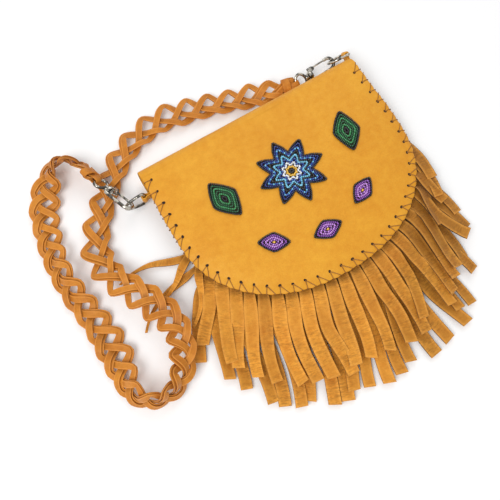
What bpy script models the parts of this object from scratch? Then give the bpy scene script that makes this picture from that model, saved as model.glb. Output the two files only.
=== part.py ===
"""Fringed leather bag lying on its back: construction model.

Lengths are in millimetres here and are turned into metres when a mesh is made.
X runs along the fold, Y from the rounded bottom to the fold, Z up from the table.
"""

import math

import bmesh
import bpy
from mathutils import Matrix, Vector

MM = 0.001

# Leather sheets
LEATHER = 2.0
LINING = 1.0
FRINGE_LEATHER = 1.8
SHEET_GAP = 0.3
LINING_GAP = 0.8

# Flap, seen from above
FLAP_HALF_WIDTH = 114.5
FLAP_BELLY = 2.5
FLAP_CURVE_POWER = 2.2
FLAP_CURVE_START_Y = 8.0
FLAP_CURVE_DEPTH = 95.0
FLAP_EDGE_Z = 11.5

# Fold between back and flap
FOLD_CENTRE_Y = 77.0
FOLD_RADIUS = 11.2
FOLD_SLIT = 0.9
FOLD_TOP_Z = 2 * FOLD_RADIUS

# Bag body
BODY_HALF_WIDTH = 105.5
BODY_CURVE_DEPTH = 85.0
MOUTH_Y = 66.0
FRONT_FLANGE_Z = 8.3
FRONT_DOME = 8.2
FRONT_UNDER_FLAP = 0.8
NECK_BELOW_FOLD = 32.0
NECK_HEIGHT = 28.0

# Fringe
STRIPS = 25
BACK_STRIP_LENGTH = 104.0
FRONT_STRIP_LENGTH = 84.0
STRIP_SPACING = 11.6
STRIP_WIDTH = 10.4
STRIP_SEGMENTS = 9
FRINGE_ENDS = (-0.985, 0.78)
STRIP_FALL = ((-1.0, -96), (-0.93, -78), (-0.86, -48), (-0.78, -28), (-0.7, -22), (-0.1, -17), (0.2, -11), (0.5, -4), (1.0, -1))
STRIP_REACH = ((-1.0, 0.6), (-0.78, 0.84), (-0.5, 1.0), (0.6, 1.0), (1.0, 0.86))
STRIP_SQUARE = ((-1.0, 1.08), (-0.86, 0.86), (1.0, 0.8))
STRIP_TURN = ((-0.6, 0.45), (0.4, 0.38), (0.8, 0.28))
STRIP_CALM = ((-0.6, 0.1), (-0.4, 1.0), (1.0, 1.0))
BAND_DEPTH = 9.0
BAND_OUT = 1.5
BACK_BAND_Z = LEATHER + SHEET_GAP + FRINGE_LEATHER / 2
FRONT_BAND_Z = BACK_BAND_Z + FRINGE_LEATHER + SHEET_GAP
BACK_STRIP_WAVE = 1.8
FRONT_STRIP_WAVE = 4.5

# Snap closure
SNAP_ABOVE_EDGE = 39.0
SNAP_Y = FLAP_CURVE_START_Y - FLAP_CURVE_DEPTH + SNAP_ABOVE_EDGE
SNAP_RADIUS = 7.0
SNAP_PLATE = 1.2
SNAP_SOCKET = 1.4
SNAP_SEAT = 0.6
SNAP_NUB_RADIUS = 2.6
SNAP_POCKET = 3.5

# Beadwork pads
BEAD_HEIGHT = 1.6
BEAD_GAP = 0.3
STAR_CENTRE = (2.0, 14.0)
STAR_OUTER = 33.0
STAR_INNER = 19.0
DIAMOND_CENTRES = ((-46.0, -33.0), (0.0, -47.0), (46.0, -33.0))
DIAMOND_HALF = (15.0, 9.0)
SPRAY_CENTRES = ((-62.0, 22.0), (66.0, 22.0))
SPRAY_HALF = (13.0, 21.0)

# Rings, with the bar that turns in the leather tab
RING_WIRE = 1.3
RING_HALF_BAR = 9.5
RING_LENGTH = 19.0
BAR_CLEARANCE = 0.1
TAB_WALL = 1.5
TAB_WIDTH = 8.0
LEFT_BAR_OUT = 5.3
SIDE_GAP = 0.35
RIGHT_BAR_OUT = TAB_WALL + SIDE_GAP
RIGHT_BAR_PAST_FOLD = 17.5
LEFT_BAR = Vector((-FLAP_HALF_WIDTH - LEFT_BAR_OUT, FOLD_CENTRE_Y - 13.0, 12.0))
RIGHT_BAR = Vector((FLAP_HALF_WIDTH + RIGHT_BAR_OUT, FOLD_CENTRE_Y + RIGHT_BAR_PAST_FOLD, 12.0))
LEFT_BAR_AXIS = Vector((0.0, 0.0, 1.0))
RIGHT_BAR_AXIS = Vector((0.0, -0.57, 0.82)).normalized()

# Swivel clasps, measured along the clasp from its base to its tip
HOOK_WIRE = 1.6
HOOK_HALF_WIDTH = 5.4
HOOK_ARC_AT = 22.0
HOOK_NOSE_AT = 19.2
HOOK_BASE_RADIUS = 4.6
HOOK_BASE_LENGTH = 3.2
WIRE_IN_HOOK_AT = 22.8
POST_RADIUS = 1.5
POST_CLEARANCE = 0.1
END_CLEARANCE = 0.3
HEAD_RADIUS = 2.9
EYE_WIRE = 1.4
EYE_HALF_WIDTH = 7.0
GATE_PIVOT_AT = 5.6
GATE_PIN_RADIUS = 0.7
GATE_PIN_CLEARANCE = 0.1
LEFT_CLASP_BACK = Vector((-0.33, 0.944, 0.0)).normalized()
RIGHT_CLASP_BACK = Vector((-0.99, -0.01, -0.14)).normalized()

# Braided strap
STRAP_WIDTH = 23.0
STRAP_THICKNESS = 8.0


def clear_scene():
    for obj in list(bpy.data.objects):
        bpy.data.objects.remove(obj, do_unlink=True)


def material(name, color, roughness, metallic=0.0):
    made = bpy.data.materials.new(name)
    made.use_nodes = True
    shader = made.node_tree.nodes["Principled BSDF"]
    shader.inputs["Base Color"].default_value = (*color, 1.0)
    shader.inputs["Roughness"].default_value = roughness
    shader.inputs["Metallic"].default_value = metallic
    made.diffuse_color = (*color, 1.0)
    return made


def link(name, data):
    obj = bpy.data.objects.new(name, data)
    bpy.context.scene.collection.objects.link(obj)
    return obj


def object_from(name, work):
    """An object from a bmesh in millimetres, with its faces turned outwards."""
    bmesh.ops.recalc_face_normals(work, faces=work.faces)
    bmesh.ops.scale(work, vec=(MM, MM, MM), verts=work.verts)
    mesh = bpy.data.meshes.new(name)
    work.to_mesh(mesh)
    work.free()
    return link(name, mesh)


def evaluated_mesh(obj):
    graph = bpy.context.evaluated_depsgraph_get()
    graph.update()
    return bpy.data.meshes.new_from_object(obj.evaluated_get(graph))


def combine(target, other, operation):
    """Joins or cuts with the exact solver, then removes the second object."""
    modifier = target.modifiers.new(operation.title(), "BOOLEAN")
    modifier.operation = operation
    modifier.solver = "EXACT"
    modifier.object = other
    mesh = evaluated_mesh(target)
    target.modifiers.remove(modifier)
    target.data = mesh
    bpy.data.objects.remove(other, do_unlink=True)
    return target


def moved(obj, matrix):
    """Moves an object's mesh by a matrix whose translation is in millimetres."""
    scaled = matrix.copy()
    scaled.translation = matrix.to_translation() * MM
    obj.data.transform(scaled)
    return obj


def sheet(name, surface, columns, rows, thickness, weld=False):
    """A grid laid on a surface of u in -1..1 and v in 0..1, thickened to the other side of it."""
    work = bmesh.new()
    bmesh.ops.create_grid(work, x_segments=columns, y_segments=rows, size=1.0)
    for vert in work.verts:
        vert.co = surface(vert.co.x, (vert.co.y + 1) / 2)
    if weld:
        bmesh.ops.remove_doubles(work, verts=work.verts, dist=1e-4)
    obj = object_from(name, work)
    if sum(face.normal.z for face in obj.data.polygons) < 0:
        obj.data.flip_normals()
    thick = obj.modifiers.new("Thickness", "SOLIDIFY")
    thick.thickness = thickness * MM
    thick.offset = -1.0
    return obj


def round_pad(name, outline, height, sides, rings):
    """A pad over an outline given as (x, y) for each angle; it stands on the flap."""
    centre = outline(None)

    def surface(u, v):
        edge = outline(math.pi * (u + 1))
        x = centre[0] + (edge[0] - centre[0]) * v
        y = centre[1] + (edge[1] - centre[1]) * v
        return x, y, height(x, y)

    return sheet(name, surface, sides, rings, BEAD_HEIGHT, weld=True)


def cylinder(name, radius, start, end, sides=20):
    """A cylinder along local X from start to end."""
    work = bmesh.new()
    bmesh.ops.create_cone(work, cap_ends=True, segments=sides, radius1=radius, radius2=radius, depth=end - start)
    turn = Matrix.Translation(((start + end) / 2, 0, 0)) @ Matrix.Rotation(math.radians(90), 4, "Y")
    bmesh.ops.transform(work, matrix=turn, verts=work.verts)
    return object_from(name, work)


def box(name, low, high):
    work = bmesh.new()
    bmesh.ops.create_cube(work, size=1.0)
    bmesh.ops.scale(work, vec=[b - a for a, b in zip(low, high)], verts=work.verts)
    bmesh.ops.translate(work, vec=[(a + b) / 2 for a, b in zip(low, high)], verts=work.verts)
    return object_from(name, work)


def wire(name, path, radius, closed=False):
    """A round wire bent along a path."""
    curve = bpy.data.curves.new(name, "CURVE")
    curve.dimensions = "3D"
    curve.bevel_depth = radius * MM
    curve.bevel_resolution = 2
    curve.use_fill_caps = True
    spline = curve.splines.new("POLY")
    spline.points.add(len(path) - 1)
    spline.use_cyclic_u = closed
    for point, where in zip(spline.points, path):
        point.co = (*(c * MM for c in where), 1.0)
    return link(name, curve)


def wire_mesh(name, path, radius, closed=False):
    """The same wire as a mesh, so that a Boolean can join to it."""
    source = wire("wire_path", path, radius, closed)
    mesh = evaluated_mesh(source)
    bpy.data.objects.remove(source, do_unlink=True)
    work = bmesh.new()
    work.from_mesh(mesh)
    bmesh.ops.remove_doubles(work, verts=work.verts, dist=1e-7)
    bmesh.ops.recalc_face_normals(work, faces=work.faces)
    work.to_mesh(mesh)
    work.free()
    return link(name, mesh)


def hang_on(name, where, nodes):
    """An empty on a joint's axis, with the pieces that turn about it as its children."""
    empty = link(name, None)
    empty.location = [c * MM for c in where]
    for node in nodes:
        child = bpy.data.objects[node]
        child.parent = empty
        child.matrix_parent_inverse = Matrix.Translation([-c * MM for c in where])


def wobble(seed):
    """A repeatable number in 0..1 for each seed."""
    value = math.sin(seed * 12.9898 + 4.1) * 43758.5453
    return value - math.floor(value)


def smooth_step(value):
    value = min(1.0, max(0.0, value))
    return value * value * (3 - 2 * value)


# Shape of the flap


def flap_half_width(y):
    belly = math.cos(math.pi * min(1.0, max(-1.0, (y - 20.0) / 75.0)) / 2)
    return FLAP_HALF_WIDTH + FLAP_BELLY * belly - 1.0 * smooth_step((y - 30.0) / 45.0)


def flap_bottom(across, inset=0.0):
    """Where the rounded edge lies, for a share of the half width across."""
    reach = max(0.0, 1 - across**FLAP_CURVE_POWER) ** (1 / FLAP_CURVE_POWER)
    return FLAP_CURVE_START_Y - (FLAP_CURVE_DEPTH - inset) * reach


def flap_plan(u, v, inset=0.0):
    """Position on the flap: u across, v from the fold to the rounded edge."""
    across = math.sin(u * math.pi / 2)
    top = FOLD_CENTRE_Y - FOLD_SLIT / 2 - inset
    bottom = flap_bottom(abs(across), inset)
    y = top + (bottom - top) * v
    x = (flap_half_width(y) - inset) * across
    return x, y


def flap_height(x, y):
    """Top surface of the closed flap."""
    across = min(1.0, abs(x) / flap_half_width(y))
    top = FOLD_CENTRE_Y - FOLD_SLIT / 2
    bottom = flap_bottom(across)
    v = min(1.0, max(0.0, (top - y) / (top - bottom)))
    ridge = 1 - v**2.4
    side = 1 - 0.42 * across**6 * smooth_step(v / 0.4)
    return FLAP_EDGE_Z + (FOLD_TOP_Z - FLAP_EDGE_Z) * ridge * side


def flap_surface(depth, inset=0.0):
    """The flap's top surface, or the one that lies squarely under it at a depth."""

    def surface(u, v):
        x, y = flap_plan(u, v, inset)
        normal = Vector((0.0, 0.0, 1.0))
        if depth:
            normal.x = -(flap_height(x + 0.5, y) - flap_height(x - 0.5, y))
            normal.y = -(flap_height(x, y + 0.5) - flap_height(x, y - 0.5))
        return Vector((x, y, flap_height(x, y))) - normal.normalized() * depth

    return surface


def make_flap():
    sheet("flap", flap_surface(0.0), 24, 12, LEATHER)
    sheet("flap_lining", flap_surface(LEATHER + LINING_GAP, 2.0), 24, 12, LINING)


# Bag body


def body_half_width(y):
    widen = smooth_step((y - FOLD_CENTRE_Y + NECK_BELOW_FOLD) / NECK_HEIGHT)
    return BODY_HALF_WIDTH + (flap_half_width(FOLD_CENTRE_Y) - BODY_HALF_WIDTH) * widen


def body_bottom(u):
    return FLAP_CURVE_START_Y - BODY_CURVE_DEPTH * math.cos(u * math.pi / 2)


def back_surface(u, v):
    """The outside of the back, from its bottom edge up to the fold and then round it."""
    straight = 0.5
    if v <= straight:
        y = body_bottom(u) + (FOLD_CENTRE_Y - body_bottom(u)) * v / straight
        return body_half_width(y) * math.sin(u * math.pi / 2), y, 0.0
    turn = math.pi * (v - straight) / (1 - straight)
    x = body_half_width(FOLD_CENTRE_Y) * math.sin(u * math.pi / 2)
    slit = FOLD_SLIT / 2 * max(0.0, (turn - 2.9) / (math.pi - 2.9))
    return x, FOLD_CENTRE_Y + FOLD_RADIUS * math.sin(turn) + slit, FOLD_RADIUS * (1 - math.cos(turn))


def make_back_panel():
    back = sheet("back_panel", back_surface, 20, 20, LEATHER)
    lowest = min(back.data.polygons, key=lambda face: face.center.z)
    if lowest.normal.z > 0:
        back.data.flip_normals()


def front_height(x, y):
    """Top surface of the front panel, domed but always under the closed flap."""
    across = min(1.0, abs(x) / BODY_HALF_WIDTH)
    v = min(1.0, max(0.0, (MOUTH_Y - y) / (MOUTH_Y - body_bottom(math.asin(across) * 2 / math.pi))))
    dome = FRONT_FLANGE_Z + FRONT_DOME * (1 - across**5) * (1 - v**3.2)
    snap_pocket = SNAP_POCKET * smooth_step((28.0 - math.hypot(x, y - SNAP_Y)) / 12.0)
    under = flap_height(x, y) - LEATHER - LINING_GAP - LINING
    return max(FRONT_FLANGE_Z, min(dome, under - FRONT_UNDER_FLAP) - snap_pocket)


def front_surface(u, v):
    y = MOUTH_Y + (body_bottom(u) - MOUTH_Y) * v
    x = BODY_HALF_WIDTH * math.sin(u * math.pi / 2)
    return x, y, front_height(x, y)


def make_front_panel():
    sheet("front_panel", front_surface, 26, 14, FRINGE_LEATHER)


# Fringe


def seam_curve(s, out=0.0):
    """A point of the seam, and the way out of the bag there, for s in -1..1 round the bottom."""
    angle = s * math.pi / 2
    x = BODY_HALF_WIDTH * math.sin(angle)
    y = FLAP_CURVE_START_Y - BODY_CURVE_DEPTH * math.cos(angle)
    normal = Vector((math.sin(angle) / BODY_HALF_WIDTH, -math.cos(angle) / BODY_CURVE_DEPTH, 0.0)).normalized()
    return Vector((x, y, 0.0)) + normal * out, normal


def seam_positions(count):
    """Values of s at equal steps along the fringed part of the seam."""
    fine = 400
    span = FRINGE_ENDS[1] - FRINGE_ENDS[0]
    stops = [FRINGE_ENDS[0] + span * i / fine for i in range(fine + 1)]
    lengths = [0.0]
    for a, b in zip(stops, stops[1:]):
        lengths.append(lengths[-1] + (seam_curve(b)[0] - seam_curve(a)[0]).length)
    found = []
    i = 0
    for k in range(count + 1):
        wanted = lengths[-1] * k / count
        while i < fine - 1 and lengths[i + 1] < wanted:
            i += 1
        part = (wanted - lengths[i]) / (lengths[i + 1] - lengths[i])
        found.append(stops[i] + (stops[i + 1] - stops[i]) * part)
    return found


def between(table, value):
    """Straight-line reading of a short list of (position, value) pairs."""
    for (x0, y0), (x1, y1) in zip(table, table[1:]):
        if value <= x1:
            part = max(0.0, value - x0) / (x1 - x0)
            return y0 + (y1 - y0) * part
    return table[-1][1]


def strip_heading(s, normal, t):
    """Strips leave the seam nearly squarely, then fall towards the bottom of the bag."""
    square = math.degrees(math.atan2(normal.x, -normal.y)) * between(STRIP_SQUARE, s)
    fallen = between(STRIP_FALL, s)
    return math.radians(square + (fallen - square) * smooth_step((t - 0.04) / between(STRIP_TURN, s)))


def strip_roll(s, normal, t):
    """Strips that fall across their neighbours lie over them like shingles."""
    side = math.atan2(normal.x, -normal.y)
    spacing = STRIP_SPACING * math.cos(side - strip_heading(s, normal, t))
    needed = math.atan((FRINGE_LEATHER + 0.5) / spacing)
    return needed * smooth_step((STRIP_SPACING - 0.1 - spacing) / 0.7) * smooth_step((t - 0.1) / 0.3)


def strip_rise(roll):
    return 0.5 * STRIP_WIDTH * math.tan(roll)


def strip_height(front, index, s, t, roll):
    """Height of a strip's middle line, from the seam to where it rests."""
    calm = between(STRIP_CALM, s) * (1.0 - smooth_step(math.degrees(roll) / 12.0) * 0.8)
    rise = strip_rise(roll)
    half = 0.6 * FRINGE_LEATHER
    rest = 0.3 + half + rise
    wave = BACK_STRIP_WAVE
    band = BACK_BAND_Z
    seed = 11
    if front:
        rest += 2 * half + 2.2 * rise + 0.5 + BACK_STRIP_WAVE * calm
        wave = FRONT_STRIP_WAVE
        band = FRONT_BAND_Z
        seed = 230
    phase = wobble(seed + index)
    rate = 0.8 + 0.9 * wobble(seed + index + 50)
    size = wave * calm * (0.35 + 0.65 * wobble(seed + index + 90)) * smooth_step(t / 0.5)
    bump = 0.5 - 0.5 * math.cos(2 * math.pi * (rate * t + phase))
    return band + (rest - band) * smooth_step((t - 0.02) / 0.28) + size * bump


def straight_band(side):
    """The plain band up one straight side, as (inner, outer) pairs from the curve to the mouth."""
    rise = MOUTH_Y - 1.0 - FLAP_CURVE_START_Y
    pairs = []
    for k in range(1, 5):
        y = FLAP_CURVE_START_Y + rise * k / 4
        inner = Vector((side * (BODY_HALF_WIDTH - BAND_DEPTH), y, 0))
        pairs.append((inner, Vector((side * (BODY_HALF_WIDTH - 0.6), y, 0))))
    return pairs


def band_pairs(slots):
    """The whole band as (inner, outer) pairs round the bag, and where each strip starts in them."""
    margin = 0.5 * (1 - STRIP_WIDTH / STRIP_SPACING)
    pairs = straight_band(-1)[::-1]
    pairs += [(seam_curve(s, -BAND_DEPTH)[0], seam_curve(s, -0.6)[0]) for s in (-1.0, (slots[0] - 1) / 2)]
    starts = []
    for a, b in zip(slots, slots[1:]):
        starts.append(len(pairs))
        for s in (a + (b - a) * margin, b - (b - a) * margin):
            pairs.append((seam_curve(s, -BAND_DEPTH)[0], seam_curve(s, BAND_OUT)[0]))
    pairs += [(seam_curve(s, -BAND_DEPTH)[0], seam_curve(s, -0.6)[0]) for s in ((slots[-1] + 1) / 2, 1.0)]
    return pairs + straight_band(1), starts


def strip_rows(index, s, length, front):
    """Left and right edge points of one strip, row by row, from the band to its tip."""
    centre, normal = seam_curve(s, BAND_OUT)
    reach = length * between(STRIP_REACH, s) * (0.95 + 0.1 * wobble(index + (31 if front else 77)))
    rows = []
    for m in range(1, STRIP_SEGMENTS + 1):
        t = m / STRIP_SEGMENTS
        heading = strip_heading(s, normal, t)
        way = Vector((math.sin(heading), -math.cos(heading), 0.0))
        centre = centre + way * (reach / STRIP_SEGMENTS)
        roll = strip_roll(s, normal, t)
        half = 0.5 * STRIP_WIDTH * (1.0 - 0.1 * t)
        flat = half * math.cos(roll)
        across = Vector((-way.y * flat, way.x * flat, -half * math.sin(roll)))
        middle = Vector((centre.x, centre.y, strip_height(front, index, s, t, roll)))
        rows.append((middle - across, middle + across))
    return rows


def make_fringe(name, strips, length, front):
    """One band round the bottom seam, with a strip drawn out of it at each slot."""
    slots = seam_positions(strips)
    pairs, starts = band_pairs(slots)
    lift = Vector((0, 0, FRONT_BAND_Z if front else BACK_BAND_Z))
    work = bmesh.new()
    bmesh.ops.create_grid(work, x_segments=len(pairs) - 1, y_segments=1, size=1.0)
    grid = {}
    for vert in work.verts:
        column = round((vert.co.x + 1) / 2 * (len(pairs) - 1))
        grid[column, vert.co.y > 0] = vert
    for (column, outer), vert in grid.items():
        vert.co = pairs[column][outer] + lift
    for index, start in enumerate(starts):
        left, right = grid[start, True], grid[start + 1, True]
        middle = (slots[index] + slots[index + 1]) / 2
        for left_at, right_at in strip_rows(index, middle, length, front):
            edge = work.edges.get((left, right))
            drawn = bmesh.ops.extrude_edge_only(work, edges=[edge])["geom"]
            new = [g for g in drawn if isinstance(g, bmesh.types.BMVert)]
            new.sort(key=lambda v: (v.co - left.co).length)
            left, right = new
            left.co = left_at
            right.co = right_at
    fringe = object_from(name, work)
    thick = fringe.modifiers.new("Thickness", "SOLIDIFY")
    thick.thickness = FRINGE_LEATHER * MM
    thick.offset = 0.0


# Snap closure


def make_snap():
    """Socket on the front panel, stud on the flap lining, both square to the sloping leather."""
    slope = (flap_height(0.0, SNAP_Y + 5) - flap_height(0.0, SNAP_Y - 5)) / 10
    rest = front_height(0.0, SNAP_Y)
    gap = flap_height(0.0, SNAP_Y) - LEATHER - LINING_GAP - LINING - rest
    turn = Matrix.Rotation(math.atan(slope), 4, "X") @ Matrix.Rotation(math.radians(-90), 4, "Y")
    upright = Matrix.Translation((0.0, SNAP_Y, rest)) @ turn
    socket_top = SNAP_SEAT + SNAP_SOCKET
    plate_low = gap - SNAP_SEAT - SNAP_PLATE
    socket = cylinder("snap_socket", SNAP_RADIUS, SNAP_SEAT, socket_top, 24)
    combine(socket, cylinder("hole", SNAP_NUB_RADIUS + 0.35, -1.0, 9.0, 16), "DIFFERENCE")
    moved(socket, upright)
    stud = cylinder("snap_stud", SNAP_RADIUS, plate_low, plate_low + SNAP_PLATE, 24)
    combine(stud, cylinder("nub", SNAP_NUB_RADIUS, socket_top - 0.8, plate_low + 0.5, 16), "UNION")
    moved(stud, upright)
    under = -FRINGE_LEATHER - SNAP_SEAT
    moved(cylinder("snap_backplate", SNAP_RADIUS, under - 0.8, under, 24), upright)


# Beadwork pads, sewn on the flap


def bead_top(x, y):
    return flap_height(x, y) + BEAD_GAP + BEAD_HEIGHT


def star_outline(angle):
    if angle is None:
        return STAR_CENTRE
    turn = (angle * 8 / (2 * math.pi)) % 1.0
    point = abs(2 * turn - 1)
    radius = STAR_INNER + (STAR_OUTER - STAR_INNER) * point**1.15
    return STAR_CENTRE[0] + radius * math.cos(angle), STAR_CENTRE[1] + radius * math.sin(angle)


def diamond_outline(centre, half, tilt):
    def outline(angle):
        if angle is None:
            return centre
        c = math.cos(angle)
        s = math.sin(angle)
        reach = 1 / (abs(c) ** 1.2 + abs(s) ** 1.2) ** (1 / 1.2)
        x = half[0] * reach * c
        y = half[1] * reach * s
        return (
            centre[0] + x * math.cos(tilt) - y * math.sin(tilt),
            centre[1] + x * math.sin(tilt) + y * math.cos(tilt),
        )

    return outline


def make_beadwork():
    round_pad("bead_star", star_outline, bead_top, 48, 3)
    for name, centre, tilt in zip(("left", "centre", "right"), DIAMOND_CENTRES, (-0.5, 0.0, 0.5)):
        round_pad(f"bead_diamond_{name}", diamond_outline(centre, DIAMOND_HALF, tilt), bead_top, 20, 2)
    for name, centre, tilt in zip(("left", "right"), SPRAY_CENTRES, (0.25, -0.25)):
        round_pad(f"bead_spray_{name}", diamond_outline(centre, SPRAY_HALF, tilt), bead_top, 20, 2)


# Rings and their tabs


def frame_of(origin, first, second):
    """Local X, Y and Z set in the bag: X along first, Y near second."""
    x = first.normalized()
    z = x.cross(second).normalized()
    y = z.cross(x)
    matrix = Matrix((x, y, z)).transposed().to_4x4()
    matrix.translation = origin
    return matrix


def make_ring(name, matrix):
    """A D ring: local Y along its bar, local X out to its far end."""
    path = [(0.0, RING_HALF_BAR * q, 0.0) for q in (-0.8, -0.3, 0.3, 0.8)]
    for k in range(15):
        t = math.pi * (k + 0.35) / 14.7
        path.append((RING_LENGTH * math.sin(t), RING_HALF_BAR * math.cos(t), 0.0))
    moved(wire_mesh(name, path, RING_WIRE, True), matrix)


def make_tab(name, matrix, run):
    """A doubled leather strip wrapped round the bar: local X away from the ring, Z along the bar."""
    inner = RING_WIRE + BAR_CLEARANCE
    outer = inner + TAB_WALL
    half = TAB_WIDTH / 2
    upright = Matrix.Rotation(math.radians(-90), 4, "Y")
    wrap = moved(cylinder(name, outer, -half, half, 20), upright)
    combine(wrap, box("strip", (0.0, -TAB_WALL, -half), (run, TAB_WALL, half)), "UNION")
    combine(wrap, moved(cylinder("bore", inner, -half - 1, half + 1, 20), upright), "DIFFERENCE")
    moved(wrap, matrix)


def make_rings_and_tabs():
    left_ring = frame_of(LEFT_BAR, Vector((-1, 0, 0)), LEFT_BAR_AXIS)
    right_ring = frame_of(RIGHT_BAR, Vector((-1, 0, 0)), RIGHT_BAR_AXIS)
    make_ring("d_ring_left", left_ring)
    make_ring("d_ring_right", right_ring)
    left_tab = frame_of(LEFT_BAR, Vector((1, 0, 0)), Vector((0, 1, 0)))
    make_tab("ring_tab_left", left_tab, -LEFT_BAR.x - BODY_HALF_WIDTH - 0.8)
    away = RIGHT_BAR_AXIS.cross(Vector((1, 0, 0))).normalized()
    if away.y > 0:
        away = -away
    matrix = Matrix((away, RIGHT_BAR_AXIS.cross(away), RIGHT_BAR_AXIS)).transposed().to_4x4()
    matrix.translation = RIGHT_BAR
    make_tab("ring_tab_right", matrix, 11.0)


# Clasps: local X from base to tip, Y across the hook, Z through it


def make_swivel_eye(name, matrix):
    loop = []
    for k in range(16):
        t = 2 * math.pi * k / 16
        loop.append((-8.9 - 5.2 * math.cos(t), EYE_HALF_WIDTH * math.sin(t), 0.0))
    eye = wire_mesh(name, loop, EYE_WIRE, True)
    combine(eye, cylinder("shoulder", 3.1, -3.6, -END_CLEARANCE, 16), "UNION")
    combine(eye, cylinder("post", POST_RADIUS, -2.0, HOOK_BASE_LENGTH + 1.2, 16), "UNION")
    head_at = HOOK_BASE_LENGTH + END_CLEARANCE
    combine(eye, cylinder("head", HEAD_RADIUS, head_at, head_at + 1.2, 16), "UNION")
    moved(eye, matrix)


def make_hook(name, matrix):
    width = HOOK_HALF_WIDTH
    path = [(1.0, -width, 0.0), (8.0, -width, 0.0), (15.0, -width, 0.0), (HOOK_ARC_AT, -width, 0.0)]
    for k in range(1, 9):
        t = math.pi * k / 8
        path.append((HOOK_ARC_AT + width * math.sin(t), -width * math.cos(t), 0.0))
    path.append((HOOK_NOSE_AT, width, 0.0))
    hook = wire_mesh(name, path, HOOK_WIRE)
    combine(hook, cylinder("base", HOOK_BASE_RADIUS, 0.0, HOOK_BASE_LENGTH, 20), "UNION")
    for side in (-1, 1):
        low = min(side * 1.5, side * 2.7)
        high = max(side * 1.5, side * 2.7)
        combine(hook, box("cheek", (1.2, width - 2.6, low), (GATE_PIVOT_AT + 1.6, width + 1.5, high)), "UNION")
    pin = cylinder("pin", GATE_PIN_RADIUS, -2.4, 2.4, 12)
    turn = Matrix.Translation((GATE_PIVOT_AT, width, 0.0)) @ Matrix.Rotation(math.radians(-90), 4, "Y")
    combine(hook, moved(pin, turn), "UNION")
    bore = cylinder("bore", POST_RADIUS + POST_CLEARANCE, -1.0, HOOK_BASE_LENGTH + 1.0, 16)
    combine(hook, bore, "DIFFERENCE")
    moved(hook, matrix)


def make_gate(name, matrix):
    width = HOOK_HALF_WIDTH
    turn = Matrix.Translation((GATE_PIVOT_AT, width, 0.0)) @ Matrix.Rotation(math.radians(-90), 4, "Y")
    gate = moved(cylinder(name, 1.6, -1.2, 1.2, 16), turn)
    lever = box("lever", (GATE_PIVOT_AT, width - 0.9, -1.15), (HOOK_NOSE_AT - 0.4, width + 0.9, 1.15))
    combine(gate, lever, "UNION")
    bore = cylinder("bore", GATE_PIN_RADIUS + GATE_PIN_CLEARANCE, -3.0, 3.0, 12)
    combine(gate, moved(bore, turn), "DIFFERENCE")
    moved(gate, matrix)


def clasp_frame(side):
    """Where each clasp sits: its hook holds the wire of its ring."""
    if side == "left":
        t = math.radians(60)
        wire = LEFT_BAR + Vector((-RING_LENGTH * math.sin(t), 0.0, RING_HALF_BAR * math.cos(t)))
        along = -LEFT_CLASP_BACK
        through = Vector((0.72, 0.0, 0.69))
    else:
        wire = RIGHT_BAR + Vector((-RING_LENGTH, 0.0, 0.0))
        along = -RIGHT_CLASP_BACK
        through = RIGHT_BAR_AXIS
    across = through.cross(along).normalized()
    matrix = Matrix((along, across, along.cross(across))).transposed().to_4x4()
    matrix.translation = wire - along * WIRE_IN_HOOK_AT
    return matrix


def make_clasps():
    for side in ("left", "right"):
        matrix = clasp_frame(side)
        make_swivel_eye(f"swivel_eye_{side}", matrix)
        make_hook(f"hook_{side}", matrix)
        make_gate(f"gate_{side}", matrix)


# Strap, from the left clasp round to the right one


def strap_stations():
    """Points of the strap's middle line, each with the turn of the braid about it in degrees."""
    left_end = clasp_frame("left") @ Vector((-15.9, 0.0, 0.0))
    right_end = clasp_frame("right") @ Vector((-15.9, 0.0, 0.0))
    table = 4.8
    over = 16.0
    stations = [(tuple(left_end), 55)]
    stations += [((-154, 121, 15), 65), ((-161, 133, 13.5), 70), ((-172, 137, 12.5), 65)]
    stations += [((-184, 131, 9), 35), ((-194, 119, 6), 10), ((-203, 104, table), 0)]
    stations += [((-209, 84, table), 0), ((-213, 60, table), 0), ((-215, 35, table), 0)]
    stations += [((-213, 12, table), 0), ((-210, -12, table), 0), ((-208, -38, table), 0)]
    stations += [((-209, -60, table), 5), ((-209, -78, 6.5), 20), ((-202, -91, 10), 50)]
    stations += [((-187, -97, 12.5), 65), ((-170, -91, 15), 45), ((-158, -77, over), 20)]
    stations += [((-152, -58, over), 5), ((-153, -40, over), 0), ((-161, -20, over), 0)]
    stations += [((-170, -2, over), 0), ((-177, 16, 13.5), 0), ((-179, 34, 8.5), 0)]
    stations += [((-175, 51, 5.2), 0), ((-165, 67, table), 0), ((-152, 82, table), 0)]
    stations += [((-139, 96, table), 0), ((-124, 109, table), 0), ((-107, 119, table), 0)]
    stations += [((-88, 126, table), 0), ((-66, 128, table), 0), ((-44, 124, table), 0)]
    stations += [((-22, 118, table), 0), ((0, 111, table), 0), ((20, 104, 5.6), 8)]
    stations += [((36, 98.5, 7.2), 20), (tuple(right_end), 34)]
    return stations


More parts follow.
